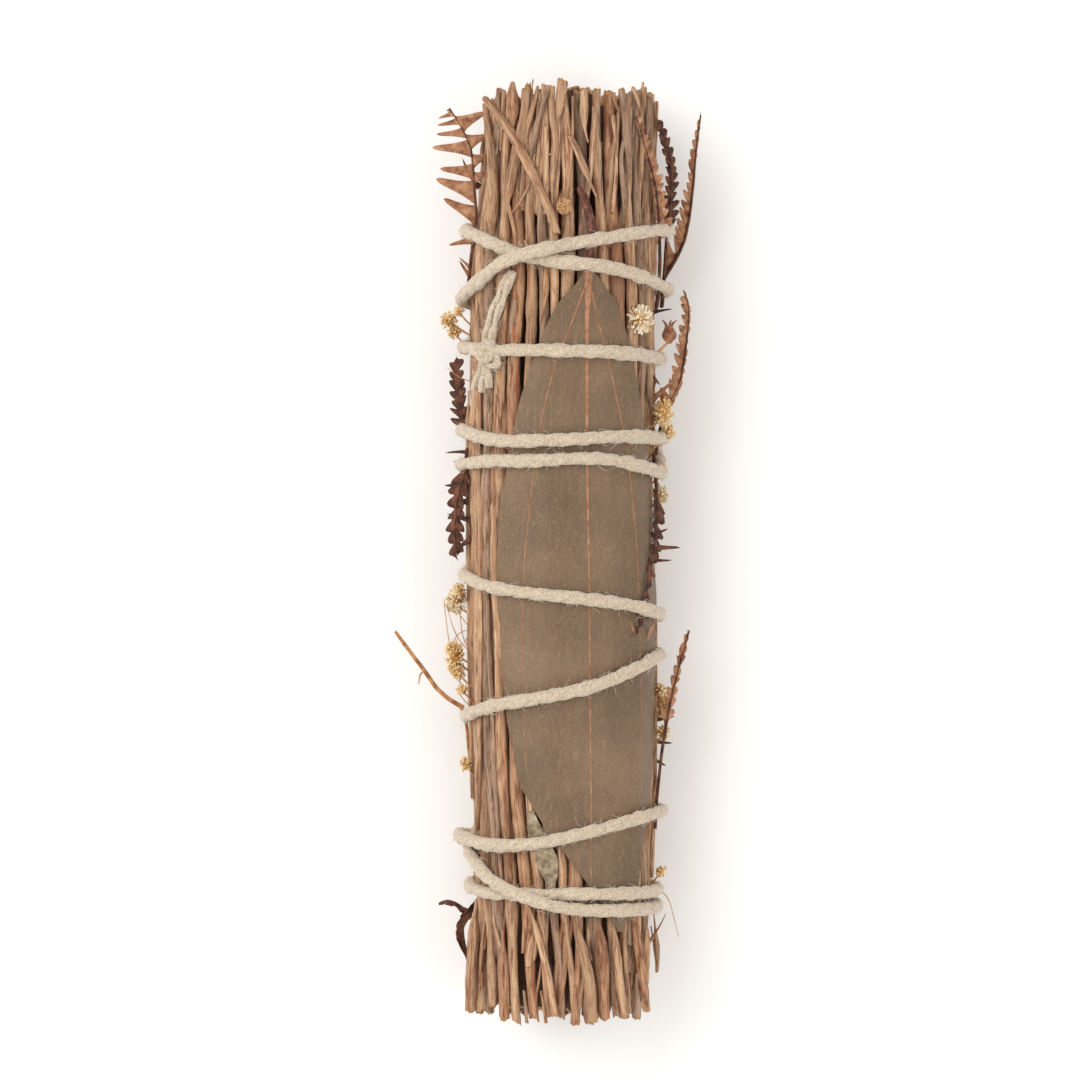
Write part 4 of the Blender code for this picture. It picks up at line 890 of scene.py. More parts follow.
def lay_string():
    """Middle line of the string round the bundle and its outward directions."""
    turns = len(STRING_ROUTE)
    half = STEPS_ROUND // 2
    grow = 0.06 + YARN_THICK / 2.0
    angles = [math.pi * (1.0 - k / half) for k in range(STEPS_ROUND)]
    along = np.zeros((turns, STEPS_ROUND))
    for turn, (name, power, late) in enumerate(STRING_ROUTE):
        xs, ys = zip(*FRONT_PASSES[name])
        following = FRONT_PASSES[STRING_ROUTE[(turn + 1) % turns][0]]
        for k, angle in enumerate(angles):
            if k <= half:
                y = (ys[0] + ys[-1]) / 2.0
                for repeat in range(3):
                    x = girth_centre(y)[0] + reach(y, angle, grow)[0] * math.cos(angle)
                    y = float(np.interp(x, xs, ys))
            else:
                t = (k - half) / half
                t = min(max((t - FLANK_SHARE) / (1.0 - 2.0 * FLANK_SHARE), 0.0), 1.0)
                share = 1.0 - (1.0 - t) ** power if late else t ** power
                y = ys[-1] + (following[0][1] - ys[-1]) * share
            along[turn, k] = y
    flat = along.reshape(-1)
    flat[1:-1] = 0.2 * flat[:-2] + 0.6 * flat[1:-1] + 0.2 * flat[2:]
    along = flat.reshape(turns, STEPS_ROUND)

    pitch = 3.35  # millimetres from one step to the next
    lift = np.zeros(turns * STEPS_ROUND)
    for k in range(STEPS_ROUND):
        for one in range(turns):
            for two in range(one + 1, turns):
                here = along[one, k] - along[two, k]
                if k == STEPS_ROUND - 1 and two == turns - 1:
                    continue
                if k < STEPS_ROUND - 1:
                    there = along[one, k + 1] - along[two, k + 1]
                else:
                    there = along[one + 1, 0] - along[two + 1, 0]
                if here * there >= 0.0:
                    continue
                over = two
                if k < half and FRONT_RANK[STRING_ROUTE[one][0]] > FRONT_RANK[STRING_ROUTE[two][0]]:
                    over = one
                sine = math.sin(math.atan(abs(here - there) / pitch))
                full = min(0.75 * YARN_WIDTH / sine, 5.5)
                centre = over * STEPS_ROUND + k + here / (here - there)
                away = np.abs(np.arange(len(lift)) - centre) * pitch
                part = np.clip((full + 4.5 - away) / 4.5, 0.0, 1.0)
                lift = np.maximum(lift, part * part * (3.0 - 2.0 * part) * (YARN_THICK + 0.1))

    points = []
    outs = []
    for index in range(turns * STEPS_ROUND):
        turn, k = divmod(index, STEPS_ROUND)
        y = float(along[turn, k])
        centre = girth_centre(y)
        distance, normal = reach(y, angles[k], grow)
        x = centre[0] + distance * math.cos(angles[k])
        z = centre[1] + distance * math.sin(angles[k])
        out = np.array([math.cos(normal), 0.0, math.sin(normal)])
        if k > half and abs(x - centre[0]) < 6.0:
            z = YARN_THICK / 2.0
            out = np.array([0.0, 0.0, -1.0])
        points.append((x, y, z))
        outs.append(out)
    outs = np.array(outs)
    outs[1:-1] = outs[:-2] + 2.0 * outs[1:-1] + outs[2:]
    outs /= np.linalg.norm(outs, axis=1)[:, None]
    points = np.array(points) + outs * lift[:, None]
    points[:, 2] = np.maximum(points[:, 2], YARN_THICK / 2.0)
    return points, outs


def surface_path(places, lift, radius):
    """Points over the front of the bundle for yarn ends: places are x, y."""
    points = []
    outs = []
    for x, y in places:
        z = skin_height(x, y, 0.05 + radius + lift)
        points.append((x, y, z))
        normal = reach(y, math.atan2(z - MIDDLE_HEIGHT, x - girth_centre(y)[0]), 0.0)[1]
        outs.append((math.cos(normal), 0.0, math.sin(normal)))
    return np.array(points), np.array(outs)


def yarn(data, points, outs, width, thick, plies=3, pitch=8.5, sides=10):
    """Adds plied yarn along points; gives its middle line, the two ways across and its widths."""
    steps = distances(points)
    at = np.linspace(0.0, steps[-1], max(int(steps[-1] / 0.75), 6))
    line = np.stack(eased(points, at, 5, steps), axis=1)
    out = np.stack(eased(outs, at, 5, steps), axis=1)
    along = np.gradient(line, axis=0)
    along /= np.linalg.norm(along, axis=1)[:, None]
    out -= along * (out * along).sum(axis=1)[:, None]
    out /= np.linalg.norm(out, axis=1)[:, None]
    across = np.cross(along, out)
    wide = width * (1.0 + 0.08 * smooth(chance.normal(0.0, 1.0, len(at)), 3) * 1.8)
    ply = PLY_SHARE * wide
    for k in range(plies):
        phase = 2.0 * math.pi * (k / plies + at / pitch) + 0.25 * np.sin(at / 9.0 + k)
        offset = across * (np.cos(phase) * (wide / 2.0 - ply) * PLY_SPREAD)[:, None]
        offset = offset + out * (np.sin(phase) * (thick / 2.0 - ply * thick / YARN_WIDTH))[:, None]
        seed = chance.uniform(0.0, 50.0)

        def form(length, turn):
            slow = 0.05 * np.sin(1.9 * length + 2.0 * turn + seed)
            return 1.0 + slow + 0.04 * np.sin(3.1 * length - 3.0 * turn)

        rod(data, line + offset, ply, sides, form, ("round", "round"), 0.05, (0, 0), seed, 0.9)
    return line, out, across, wide


def fuzz(data, line, out, across, wide, number, longest):
    """Adds loose cotton fibres that stand off a yarn."""
    for repeat in range(number):
        k = int(chance.integers(1, len(line) - 1))
        turn = chance.uniform(0.0, 2.0 * math.pi)
        away = across[k] * math.cos(turn) + out[k] * math.sin(turn)
        if line[k][2] + away[2] * wide[k] / 2.0 < 0.25:
            continue
        along = unit(line[min(k + 1, len(line) - 1)] - line[k - 1])
        length = chance.uniform(0.35, 1.0) ** 2 * longest
        bend = along * chance.normal(0.0, 0.9) + np.cross(along, away) * chance.normal(0.0, 0.6)
        root = line[k] + away * wide[k] * 0.40
        points = [root]
        for step in (0.33, 0.66, 1.0):
            curl = bend * step + chance.normal(0.0, 0.18, 3)
            points.append(root + (away * (step - 0.45 * step * step) + curl * step) * length)
        points = np.array(points)
        points[:, 2] = np.maximum(points[:, 2], 0.05)
        thick = chance.uniform(0.018, 0.032)
        rod(data, points, [thick, thick, thick * 0.9, thick * 0.5], 3, None, ("point", "point"))


def dress_string():
    """The string with its knot, its loose ends and the fuzz on it."""
    body = cotton_yarn("carded_cotton", "#9c8770", "#d9c7ae")
    loose = cotton_yarn("cotton_fuzz", "#d5c8b3", "#ece2d0")
    points, outs = lay_string()
    first = next(k for k in range(STEPS_ROUND) if points[k][0] > KNOT[0] + 0.8)
    start, start_out = surface_path([(KNOT[0] + 0.4, KNOT[1] + 0.1)], 0.2, YARN_THICK / 2.0)
    end, end_out = surface_path([(-13.8, 32.9), (KNOT[0] - 0.4, KNOT[1] + 0.2)], 0.2, YARN_THICK / 2.0)
    points = np.concatenate([start, points[first:], end])
    outs = np.concatenate([start_out, outs[first:], end_out])
    data = []
    hairs = []
    laid = yarn(data, points, outs, YARN_WIDTH, YARN_THICK)
    fuzz(hairs, *laid, 6200, 1.25)
    fuzz(hairs, *laid, 260, 2.2)

    place, out = surface_path([KNOT], 0.6, YARN_THICK / 2.0)
    middle = place[0]
    turn = np.linspace(0.0, 4.4 * math.pi, 26)
    ring = np.stack(
        [
            1.15 * np.cos(turn) + 0.35 * np.sin(0.5 * turn),
            1.9 * np.sin(turn) * (0.8 + 0.1 * np.cos(0.5 * turn)),
            0.55 + 0.45 * np.cos(1.5 * turn),
        ],
        axis=1,
    )
    fuzz(hairs, *yarn(data, middle + ring, np.tile(out[0], (26, 1)), 1.7, 1.5), 160, 1.3)
    tails = (
        (((-9.9, 31.6), (-9.8, 35.2), (-8.9, 38.0), (-7.9, 40.8), (-6.8, 43.0),
         (-6.0, 44.6)), 0.15, 1.45),
        (((-9.4, 31.6), (-8.7, 35.4), (-8.1, 38.0), (-6.9, 40.6), (-6.3, 43.0),
         (-5.5, 44.4)), 0.35, 1.35),
        (((-9.9, 32.6), (-10.6, 29.6), (-11.2, 27.6), (-11.7, 26.1)), 0.05, 1.3),
        (((-9.7, 32.6), (-10.0, 29.4), (-10.3, 27.2), (-10.6, 25.7)), 0.25, 1.3),
        (((-9.5, 32.6), (-9.5, 29.4), (-9.5, 27.4), (-9.4, 26.4)), 0.05, 1.2),
        (((-9.6, 33.4), (-8.0, 31.4), (-7.6, 29.4), (-8.6, 28.9), (-9.4, 30.2)), 0.35, 1.3),
    )
    for places, lift, width in tails:
        points, outs = surface_path(places, lift, width / 2.0)
        fuzz(hairs, *yarn(data, points, outs, width, width * 0.85, 2, 9.0, 8), 110, 1.3)
    plies = model(data)
    for corner in plies.verts:
        corner.co.z = max(corner.co.z, 0.0)
    finish("cotton_string_plies", plies, [body], ("cotton_string",), 80.0)
    finish("cotton_string_fuzz", hairs, [loose], (), 80.0)


# Fern, flowers and small bits

# Fern bits: name, tone, rib (x, y, z), turn of the flat, bare share, pairs of lobes, rib
# width, lobe lengths on the left and on the right at the tip and at the foot, and lean
FRONDS = (
    (
        "fern_top_right_near", "brown",
        (
            (17.4, 39.5, 18.5), (18.0, 46.0, 19.5), (17.9, 52.0, 20.5), (17.4, 57.8, 21.5),
            (16.5, 61.8, 22.3), (15.2, 65.4, 23.2), (13.8, 69.5, 24.4),
        ),
        30.0, 0.36, 14, 1.0, (0.3, 0.8), (0.9, 2.6), 0.35,
    ),
    (
        "fern_top_right_dark", "dark",
        (
            (18.4, 39.5, 13.5), (18.9, 46.0, 14.5), (19.2, 52.0, 15.5), (19.9, 57.0, 16.3),
            (19.9, 62.6, 17.0), (19.0, 66.2, 17.4), (17.7, 69.4, 17.8),
        ),
        35.0, 0.42, 12, 1.0, (0.9, 2.0), (0.8, 1.9), 0.6,
    ),
    (
        "fern_top_right_tall", "brown",
        (
            (17.4, 39.0, 10.4), (17.9, 41.5, 10.6), (18.7, 44.2, 11.0), (20.8, 47.4, 11.5),
            (22.2, 50.4, 11.9), (23.0, 54.6, 12.5), (23.5, 59.0, 13.1), (23.8, 63.0, 13.7),
            (24.2, 67.0, 14.2), (24.7, 70.4, 14.6),
        ),
        10.0, 0.26, 14, 1.1, (0.5, 3.4), (0.1, 0.3), 0.75,
    ),
    (
        "fern_middle_right_arc", "brown",
        (
            (17.2, 15.6, 16.0), (17.8, 19.0, 16.4), (19.0, 22.4, 16.4), (21.2, 26.6, 16.2),
            (22.0, 31.0, 16.0), (22.6, 35.6, 15.8), (22.8, 39.4, 15.6), (22.0, 42.0, 15.4),
        ),
        15.0, 0.30, 11, 0.9, (1.2, 2.8), (0.2, 0.5), 0.55,
    ),
    (
        "fern_over_leaf_edge", "dark",
        (
            (17.0, 15.6, 19.0), (17.4, 11.0, 19.6), (17.6, 6.0, 20.0), (17.2, 1.0, 20.6),
            (16.3, -4.0, 22.0), (15.2, -9.0, 23.6), (14.3, -13.0, 24.6),
        ),
        40.0, 0.24, 10, 1.0, (0.5, 2.4), (0.2, 0.9), 0.7,
    ),
    (
        "fern_lower_right", "brown",
        (
            (17.2, -44.6, 17.5), (17.6, -39.0, 17.0), (18.4, -32.0, 16.6), (19.6, -25.0, 16.4),
            (20.8, -20.0, 16.2), (21.9, -16.0, 16.0), (22.8, -12.8, 15.8),
        ),
        15.0, 0.55, 8, 1.1, (0.6, 1.9), (0.3, 1.2), 0.8,
    ),
    (
        "fern_left_upper", "dark",
        (
            (-12.8, 17.0, 10.5), (-13.4, 20.0, 11.0), (-14.4, 24.0, 11.8),
            (-14.9, 27.6, 12.4), (-15.0, 31.0, 13.0),
        ),
        -25.0, 0.24, 7, 0.9, (1.0, 2.2), (1.4, 2.0), 0.45,
    ),
    (
        "fern_left_lower", "dark",
        (
            (-13.0, 16.6, 18.0), (-13.6, 12.0, 17.6), (-14.8, 8.0, 17.0),
            (-15.1, 3.6, 16.4), (-14.8, -0.8, 16.0),
        ),
        -25.0, 0.24, 7, 0.9, (1.6, 2.0), (1.2, 2.2), 0.4,
    ),
)
# The large fern bit at the top left: its rib, then each lobe's foot, tip and width at the
# foot, all in pixels of the photograph, and the height of the bit above the floor
TOP_LEFT_RIB = (
    (469.0, 297.0), (470.5, 257.0), (475.5, 232.0), (476.8, 216.0), (474.8, 195.0), (473.9, 178.0),
    (472.3, 160.0), (471.0, 147.0), (467.1, 137.0), (461.4, 126.0), (455.6, 116.0), (449.0, 106.0),
)
TOP_LEFT_HEIGHTS = (17.5, 19.0, 20.2, 20.6, 20.7, 20.6, 20.5, 20.3, 20.1, 19.8, 19.4, 18.6)
TOP_LEFT_LOBES = (
    (452.0, 111.0, 437.5, 116.0, 7.0), (457.5, 119.5, 436.8, 123.5, 8.0),
     (463.0, 131.5, 437.0, 132.5, 11.0),
    (468.0, 148.0, 433.0, 146.0, 17.0), (471.5, 169.0, 440.0, 167.5, 15.0),
     (473.0, 190.0, 435.0, 178.0, 21.0),
    (475.0, 213.0, 442.0, 198.0, 19.0), (474.0, 238.0, 449.0, 243.5, 10.0),
    (462.0, 122.0, 484.8, 110.5, 17.0), (470.0, 141.0, 487.0, 134.0, 15.0),
     (472.5, 160.0, 487.0, 154.0, 14.0),
    (474.0, 178.0, 486.0, 172.0, 12.0), (451.0, 107.0, 446.0, 108.0, 6.0),
)
# The curled strips of fern at the bottom left: places, widths and turns of the flat
BOTTOM_LEFT_STRIPS = (
    (
        ((-17.6, -57.0, 14.8), (-16.4, -56.6, 15.0), (-15.2, -57.0, 15.0), (-13.9, -57.9, 14.6),
         (-12.4, -59.2, 14.2)),
        (0.5, 0.9, 1.1, 1.0, 0.9), (40, 20, 55, 10, 0),
    ),
    (
        ((-11.8, -56.4, 14.6), (-13.0, -58.4, 14.6), (-14.2, -60.4, 14.4), (-14.3, -62.8, 14.2),
         (-13.4, -65.2, 13.8),
         (-12.2, -67.4, 13.2)),
        (1.1, 1.5, 1.3, 1.5, 1.2, 0.5), (70, 25, -10, 35, 60, 20),
    ),
    (
        ((-13.2, -57.6, 14.4), (-13.7, -59.0, 14.8), (-14.6, -60.2, 14.9)), (0.7, 0.9, 0.3), (0, 30, 60),
    ),
)
# Loose bits of fern: tone, foot, tip and width in pixels, then height above the floor
FERN_BITS = (
    ("dark", 462.0, 185.0, 457.0, 160.0, 7.0, 17.0), ("dark", 464.0, 176.0, 455.0, 170.0, 6.0, 17.2),
    ("brown", 466.0, 276.0, 457.0, 259.0, 7.0, 15.0), ("brown", 468.0, 268.0, 460.0, 254.0, 6.0, 16.0),
    ("dark", 458.0, 452.0, 445.0, 448.0, 6.0, 16.0), ("dark", 460.0, 486.0, 444.0, 484.0, 9.0, 17.0),
    ("dark", 460.0, 500.0, 447.0, 506.0, 9.0, 17.0), ("dark", 461.0, 520.0, 446.0, 516.0, 8.0, 17.0),
    ("dark", 462.0, 538.0, 450.0, 552.0, 8.0, 17.0), ("dark", 462.0, 470.0, 452.0, 462.0, 6.0, 17.0),
    ("dark", 664.0, 311.0, 673.0, 306.0, 5.0, 18.0), ("dark", 661.0, 548.0, 681.0, 547.0, 9.0, 20.0),
    ("dark", 660.0, 536.0, 669.0, 530.0, 7.0, 20.2), ("dark", 661.0, 560.0, 672.0, 562.0, 6.0, 19.6),
    ("brown", 662.0, 640.0, 661.0, 614.0, 6.0, 23.0), ("dark", 658.0, 652.0, 629.0, 661.0, 8.0, 26.0),
    ("dark", 660.0, 722.0, 676.0, 719.0, 7.0, 15.0), ("dark", 660.0, 742.0, 673.0, 748.0, 7.0, 15.0),
    ("dark", 659.0, 760.0, 667.0, 768.0, 6.0, 15.0), ("brown", 639.0, 612.0, 636.0, 636.0, 5.0, 27.0),
    ("brown", 668.0, 400.0, 674.0, 378.0, 8.0, 17.0), ("brown", 666.0, 388.0, 659.0, 378.0, 8.0, 18.0),
    ("brown", 664.0, 420.0, 672.0, 408.0, 7.0, 18.0), ("dark", 664.0, 372.0, 660.0, 384.0, 6.0, 19.0),
)


def lobe(data, foot, way, rib_way, face, length, base, curl, rows=8, columns=4):
    """Adds one dry lobe: flared where it leaves the rib, with a blunt hooked point and rolled edges."""
    sheet = bmesh.new()
    made = bmesh.ops.create_grid(sheet, x_segments=columns, y_segments=rows, size=0.5)["verts"]
    sag = chance.uniform(-0.16, 0.20)
    twist = chance.normal(0.0, 0.4)
    roll = chance.uniform(0.35, 0.75)
    for corner in made:
        t = corner.co.y + 0.5
        s = corner.co.x * 2.0
        width = base * 0.5 * (0.42 * (1.0 - t ** 3) ** 0.5 + 0.56 * (1.0 - t) ** 3 + 0.02)
        flat = way * (length * t) + rib_way * (s * width + curl * length * t * t)
        crease = 0.22 * abs(s) - roll * s * s
        rise = width * crease + sag * length * t * t + s * width * twist * t
        corner.co = foot + flat + face * rise
    bmesh.ops.recalc_face_normals(sheet, faces=sheet.faces)
    bmesh.ops.solidify(sheet, geom=sheet.faces[:], thickness=0.11)
    pour(sheet, data)


def strip(data, marks, widths, turns):
    """Adds a thin curled strip along a line: widths in millimetres, turns of its flat in degrees."""
    rows = 26
    line, along = rib_line(np.array(marks), rows)[:2]
    at = np.linspace(0.0, 1.0, rows)
    wide = np.interp(at, np.linspace(0.0, 1.0, len(widths)), widths)
    turn = np.radians(np.interp(at, np.linspace(0.0, 1.0, len(turns)), turns))
    ragged = chance.normal(0.0, 0.10, rows)
    sheet = bmesh.new()
    made = bmesh.ops.create_grid(sheet, x_segments=4, y_segments=rows - 1, size=0.5)["verts"]
    for corner in made:
        row = round((corner.co.y + 0.5) * (rows - 1))
        s = corner.co.x * 2.0
        side = unit(np.cross(along[row], [0.0, 0.0, 1.0]))
        up = np.cross(side, along[row])
        flat = side * math.cos(turn[row]) + up * math.sin(turn[row])
        rise = up * math.cos(turn[row]) - side * math.sin(turn[row])
        half = wide[row] / 2.0 + ragged[row] * max(s, 0.0)
        corner.co = line[row] + flat * (s * half) + rise * (0.35 * half * s * s)
    bmesh.ops.recalc_face_normals(sheet, faces=sheet.faces)
    bmesh.ops.solidify(sheet, geom=sheet.faces[:], thickness=0.12)
    pour(sheet, data)


def rib_line(marks, count):
    """A smooth line through a rib's places, the ways along it and its length."""
    steps = distances(marks)
    line = np.stack(eased(marks, np.linspace(0.0, steps[-1], count), 5, steps), axis=1)
    along = np.gradient(line, axis=0)
    return line, along / np.linalg.norm(along, axis=1)[:, None], steps[-1]


def start_frond(path, rib, seed):
    """A fern bit's rib, clear of the bundle: its line, the ways along it, its length and data."""
    line, along, total = rib_line(np.array([clear_of_bundle(point, 0.5) for point in path]), 60)
    widths = 0.30 * rib * np.linspace(1.0, 0.4, len(line))
    parts = []
    rod(parts, line, widths, 8, bark_form(seed, 0.08, []), ("snapped", "tip"), 0.1, (1, 1))
    return line, along, total, model(parts)


def dress_fronds(tones):
    """Replaces every fern bit by a rib with curled lobes down both sides."""
    ribbed = []
    for name, tone, path, facing, stalk, pairs, rib, left, right, lean in FRONDS:
        line, along, total, data = start_frond(path, rib, len(name))
        pitch = total * (1.0 - stalk) / pairs
        for number in range(2 * pairs):
            pair, which = divmod(number, 2)
            way = -1.0 if which == 0 else 1.0
            far = (pair + 0.2 + 0.18 * which) / pairs
            k = min(int((stalk + (1.0 - stalk) * far) * (len(line) - 1)), len(line) - 1)
            turn = math.radians(facing)
            face = np.array([math.sin(turn), 0.0, math.cos(turn)])
            across = unit(np.cross(along[k], face))
            tip, foot = left if which == 0 else right
            length = (foot + (tip - foot) * far ** 0.8) * chance.uniform(0.85, 1.12)
            out = unit(across * way + along[k] * (lean + chance.normal(0.0, 0.08)))
            face = face + across * chance.normal(0.0, 0.25)
            lobe(data, line[k], out, along[k], face, length, pitch * 1.9, 0.18)
        ribbed.append((name, tone, data))
    path = [(*photo_xy(*place), z) for place, z in zip(TOP_LEFT_RIB, TOP_LEFT_HEIGHTS)]
    line, along, total, data = start_frond(path, 1.0, 3)
    for foot_x, foot_y, tip_x, tip_y, base in TOP_LEFT_LOBES:
        x, y = photo_xy(foot_x, foot_y)
        k = int(np.argmin((line[:, 0] - x) ** 2 + (line[:, 1] - y) ** 2))
        tip = np.array([*photo_xy(tip_x, tip_y), line[k][2] + chance.uniform(-0.8, 0.3)])
        out = tip - line[k]
        length = float(np.linalg.norm(out))
        face = np.array([0.25, 0.0, 0.97])
        lobe(data, line[k], out / length, along[k], face, length, base * PIXEL * 1.15, 0.0, 12, 6)
    ribbed.append(("fern_top_left", "brown", data))
    data = bmesh.new()
    for marks, widths, turns in BOTTOM_LEFT_STRIPS:
        strip(data, marks, widths, turns)
    ribbed.append(("fern_bottom_left", "dark", data))
    held = []
    for name, tone, data in ribbed:
        for corner in data.verts:
            corner.co = clear_of_bundle(corner.co, 0.22)
        held.extend(tuple(corner.co) for corner in data.verts)
        finish(name + "_lobes", data, [tones[tone], tones["dark"]], (name,), 40.0)
    for tone in ("brown", "dark"):
        data = bmesh.new()
        for kind, foot_x, foot_y, tip_x, tip_y, base, z in FERN_BITS:
            if kind != tone:
                continue
            foot = on_the_skin((*photo_xy(foot_x, foot_y), z))
            out = np.array([*photo_xy(tip_x, tip_y), foot[2] + chance.uniform(-0.6, 0.6)]) - foot
            length = float(np.linalg.norm(out))
            out /= length
            along = unit(np.cross(out, [0.0, 0.0, 1.0]))
            curl = chance.uniform(-0.2, 0.2)
            lobe(data, foot, out, along, np.cross(along, out), length, base * PIXEL, curl)
        finish("loose_fern_" + tone, data, [tones[tone]], (), 40.0)
    near = []
    for point in held:
        out, skin = from_middle(point, 1.0)[1:]
        if math.hypot(*out) < skin:
            near.append(point)
    add_to_girth(near, 1.5)


# The turn from one petal to the next that spreads them evenly over a ball
GOLDEN_TURN = 2.399963
# Flower heads: name, tone, centre, half sizes and number of petals
FLOWER_HEADS = (
    ("flower_head_1", "straw", (-16.0, 37.4, 15.5), (1.1, 1.1, 1.1), 70),
    ("flower_head_2", "cream", (14.4, 37.2, 24.0), (1.8, 2.0, 1.3), 120),
    ("flower_head_3", "straw", (18.6, 22.4, 18.8), (1.3, 2.2, 1.4), 90),
    ("flower_head_4", "cream", (18.2, 9.2, 14.0), (1.2, 1.5, 1.2), 60),
    ("flower_head_5", "cream", (-14.9, -8.0, 15.0), (1.6, 1.9, 1.4), 90),
    ("flower_head_6", "straw", (-15.0, -17.2, 15.5), (1.3, 2.6, 1.3), 90),
    ("flower_head_7", "straw", (18.4, -24.4, 12.5), (1.2, 1.6, 1.2), 60),
)
# Small clusters of dry florets: pixel of the photograph, radius in pixels, height, number of petals
LOOSE_FLORETS = (
    ((453, 330), 6, 15.0, 34), ((458, 309), 5, 16.5, 28), ((662, 413), 8, 18.0, 44),
     ((669, 431), 7, 17.0, 40),
    ((658, 438), 6, 19.0, 30), ((661, 470), 6, 16.0, 30), ((458, 590), 6, 16.5, 34),
     ((450, 650), 6, 15.5, 30),
    ((458, 674), 6, 16.5, 34), ((462, 690), 5, 18.0, 22), ((465, 765), 6, 16.0, 30),
     ((663, 712), 7, 15.0, 34),
    ((664, 735), 7, 15.5, 34), ((661, 690), 5, 16.0, 24), ((662, 874), 5, 16.0, 22),
)
# Thin dry fibres, each from the bundle outwards: radius, height, then pixels
FIBRES = (
    (0.11, 16.5, ((664, 409), (672, 402), (677, 393), (684, 375))),
    (0.10, 15.0, ((660, 885), (670, 899), (674, 917), (680, 940))),
    (0.09, 15.5, ((466, 382), (458, 376), (452, 371), (446, 366))),
    (0.11, 15.5, ((470, 700), (463, 695), (456, 680), (450, 655), (446, 628), (443, 600))),
    (0.10, 16.0, ((466, 660), (458, 642), (450, 622), (446, 606))),
    (0.10, 15.0, ((468, 640), (458, 615), (452, 600))), (0.09, 14.5, ((470, 628), (458, 633),
     (448, 650))),
    (0.12, 16.5, ((470, 668), (462, 640), (459, 612))), (0.10, 16.0, ((470, 720), (462, 700),
     (455, 690))),
)


def petals(data, middle, radii, number):
    """Adds a tight ball of tiny dry petals round a darker heart."""
    core = bmesh.ops.create_icosphere(data, subdivisions=2, radius=1.0)["verts"]
    for corner in core:
        corner.co = Vector(middle) + Vector([corner.co[k] * radii[k] * 0.62 for k in range(3)])
        for face in corner.link_faces:
            face.material_index = 1
    parts = []
    for k in range(number):
        height = 1.0 - 2.0 * (k + 0.5) / number
        turn = GOLDEN_TURN * k + chance.normal(0.0, 0.15)
        flat = math.sqrt(max(1.0 - height * height, 0.0))
        way = np.array([flat * math.cos(turn), flat * math.sin(turn), height])
        root = middle + way * np.array(radii) * 0.5
        tip = middle + way * np.array(radii) * chance.uniform(0.85, 1.15)
        bend = (root + tip) / 2.0 + chance.normal(0.0, 0.09, 3)
        lip = tip + chance.normal(0.0, 0.17, 3)
        size = chance.uniform(0.10, 0.19)
        rod(parts, [root, bend, tip, lip], [size * 0.6, size, size * 1.3, size * 0.6], 5, None,
            ("round", "cut"), 0.25, (0, 0), k)
    model(parts, data)


def stalk(parts, place, radius):
    """Adds the thin dry stalk that holds a small thing beside the bundle, down into the twigs."""
    foot = on_the_skin((place[0], place[1] - 3.0, place[2]), -1.2)
    bend = np.array([0.6 * place[0] + 0.4 * foot[0], place[1] - 1.9, 0.6 * place[2] + 0.4 * foot[2]])
    at = np.linspace(0, 1, 9)
    line = [(1 - t) ** 2 * np.array(place) + 2 * t * (1 - t) * bend + t * t * foot for t in at]
    rod(parts, line, [radius] * 9, 6, bark_form(3, 0.08, []), ("round", "round"), 0.05)


def dress_flowers(petal, heart, capsule, skin):
    """Replaces each flower head by tiny dry petals, and the dry capsule; adds stalks and florets."""
    stalks = []
    for name, tone, centre, radii, number in FLOWER_HEADS:
        middle = clear_of_bundle(centre, min(radii) * 0.5)
        data = bmesh.new()
        petals(data, middle, np.array(radii) * 1.08, number)
        stalk(stalks, middle, 0.16)
        finish(name + "_petals", data, [petal[tone], heart], (name,))
    data = bmesh.new()
    for place, size, z, number in LOOSE_FLORETS:
        size = size * PIXEL
        middle = clear_of_bundle((*photo_xy(*place), z), size * 0.3)
        petals(data, middle, (size, size * 1.1, size), number)
        stalk(stalks, middle, 0.13)
    finish("loose_florets", data, [petal["straw"], heart], ())

    centre = clear_of_bundle((19.4, 34.9, 20.5), 0.6)
    data = []
    line = [centre + np.array([0.0, t, 0.0]) for t in np.linspace(-1.2, 1.2, 9)]
    size = [0.5, 0.85, 1.05, 1.15, 1.15, 1.05, 0.85, 0.75, 0.6]

    def ribbed(length, turn):
        return 1.0 + 0.10 * np.cos(5.0 * turn) + 0.0 * length

    rod(data, line, size, 20, ribbed, ("round", "snapped"), 0.1, (0, 0))
    for turn in np.linspace(0.0, 6.28, 6)[:5]:
        way = np.array([0.55 * math.cos(turn), 0.0, 0.55 * math.sin(turn)])
        tooth = [line[-1] + way * far + (0, rise, 0) for far, rise in ((0.8, 0.0), (1.3, 0.6), (2.2, 1.0))]
        rod(data, tooth, [0.22, 0.18, 0.08], 6, None, ("round", "tip"), 0.05)
    finish("dry_capsule_shell", data, [capsule], ("dry_capsule",))
    stalk(stalks, line[0], 0.2)
    for radius, z, places in FIBRES:
        marks = np.array([clear_of_bundle((*photo_xy(*place), z), 0.12) for place in places])
        marks[0] = marks[0] + (girth_centre(marks[0][1])[0] - marks[0][0]) * np.array([0.12, 0.0, 0.0])
        line = rib_line(marks, 16)[0]
        widths = radius * np.linspace(1.0, 0.6, 16)
        rod(stalks, line, widths, 6, bark_form(2, 0.08, []), ("round", "tip"), 0.05)
    finish("thin_stalks_and_fibres", stalks, [skin], ())


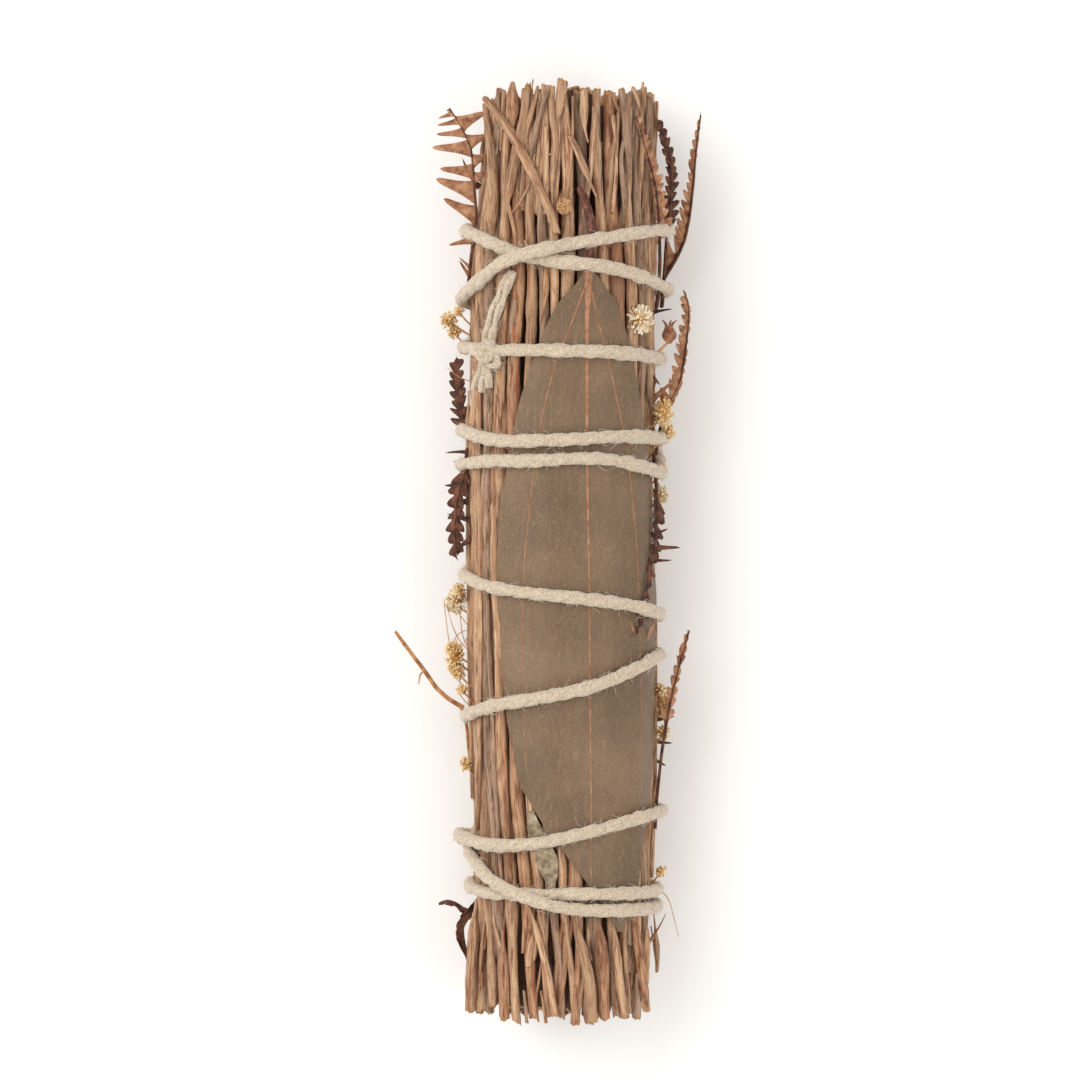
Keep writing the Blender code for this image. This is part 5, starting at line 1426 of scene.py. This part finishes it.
# The bent sprig and its short fork: x, y, z, radius
SPRIG_STEM = (
    (-12.2, -38.0, 12.0, 0.34), (-12.8, -32.0, 12.0, 0.34), (-13.2, -28.0, 12.2, 0.33),
    (-13.8, -25.4, 12.5, 0.33), (-16.2, -24.0, 12.9, 0.32), (-18.2, -22.2, 13.2, 0.31),
    (-20.2, -19.2, 13.6, 0.32), (-21.9, -17.0, 13.9, 0.27), (-24.7, -13.1, 14.4, 0.20),
)
SPRIG_FORK = ((-20.1, -19.3, 13.6, 0.22), (-20.7, -20.0, 13.7, 0.17), (-20.9, -21.4, 13.8, 0.12))


def dress_sprig(skin):
    """The bent sprig on the left, two dry strands side by side with a swollen joint."""
    data = []
    for offset, places in ((0.0, SPRIG_STEM), (0.26, SPRIG_STEM[3:]), (0.0, SPRIG_FORK)):
        marks = np.array([(*clear_of_bundle(place[:3], 0.3), place[3]) for place in places])
        x, y, z, size = eased(marks, np.linspace(0, len(marks) - 1, len(marks) * 5), 2)
        line = np.stack([x + offset * 0.6, y + offset, z + 0.1 * offset], axis=1)
        size = size * (0.62 if offset else 0.8)
        form = bark_form(5, 0.10, [(27.0, 0.5, 0.5)])
        rod(data, line, size, 8, form, ("snapped", "tip"), 0.2, (0, 0), 40.0 * offset)
    finish("side_sprig_strands", data, [skin], ("side_sprig",))


def build():
    """Makes every piece in the order in which they lie on each other."""
    barks = (
        twig_bark("weathered_tan_bark", "#7c5740", "#bd9472", "#dfbd9a", "#d2ac86", "#a2623f"),
        twig_bark("weathered_grey_bark", "#654a38", "#9f8068", "#c4a68a", "#b3937a", "#8a5a42"),
        twig_bark("weathered_red_bark", "#6c412d", "#a87958", "#cfa683", "#c49b76", "#a4512c"),
        # the fourth bark is darker all over as painted shade: it goes on the core twigs, which lie in the
        # shade between the outer twigs
        twig_bark("shaded_inner_bark", "#2c1a12", "#5a3c2b", "#80593f", "#6c4a35", "#5e2f1e"),
    )
    wood = torn_wood("torn_twig_wood", "#c59a6c", "#6f482c")
    dress_stems(barks, wood)
    dress_thin_twigs(barks, wood)
    dress_leaves()
    tones = {
        "brown": dry_tissue("dried_fern_brown", "#744731", "#9f6f4e", "#bf9370"),
        "dark": dry_tissue("dried_fern_dark", "#2f1a13", "#553122", "#7d4f36"),
    }
    dress_fronds(tones)
    petal = {
        "cream": dry_tissue("dried_petal_cream", "#c9ad80", "#e9dcc0", "#f6eedc", 0.9),
        "straw": dry_tissue("dried_petal_straw", "#c09050", "#dfc08c", "#efdcb4", 0.9),
    }
    heart = dry_tissue("flower_heart", "#96662f", "#bd8a4c", "#d8ac6c", 0.9)
    sprig = dry_tissue("dry_sprig_stem", "#8e5a36", "#b98352", "#d3a475")
    dress_flowers(petal, heart, dry_tissue("seed_capsule", "#6a3f2b", "#8d5b40", "#ab7a59"), sprig)
    dress_sprig(sprig)
    dress_string()


set_the_stage()
build()
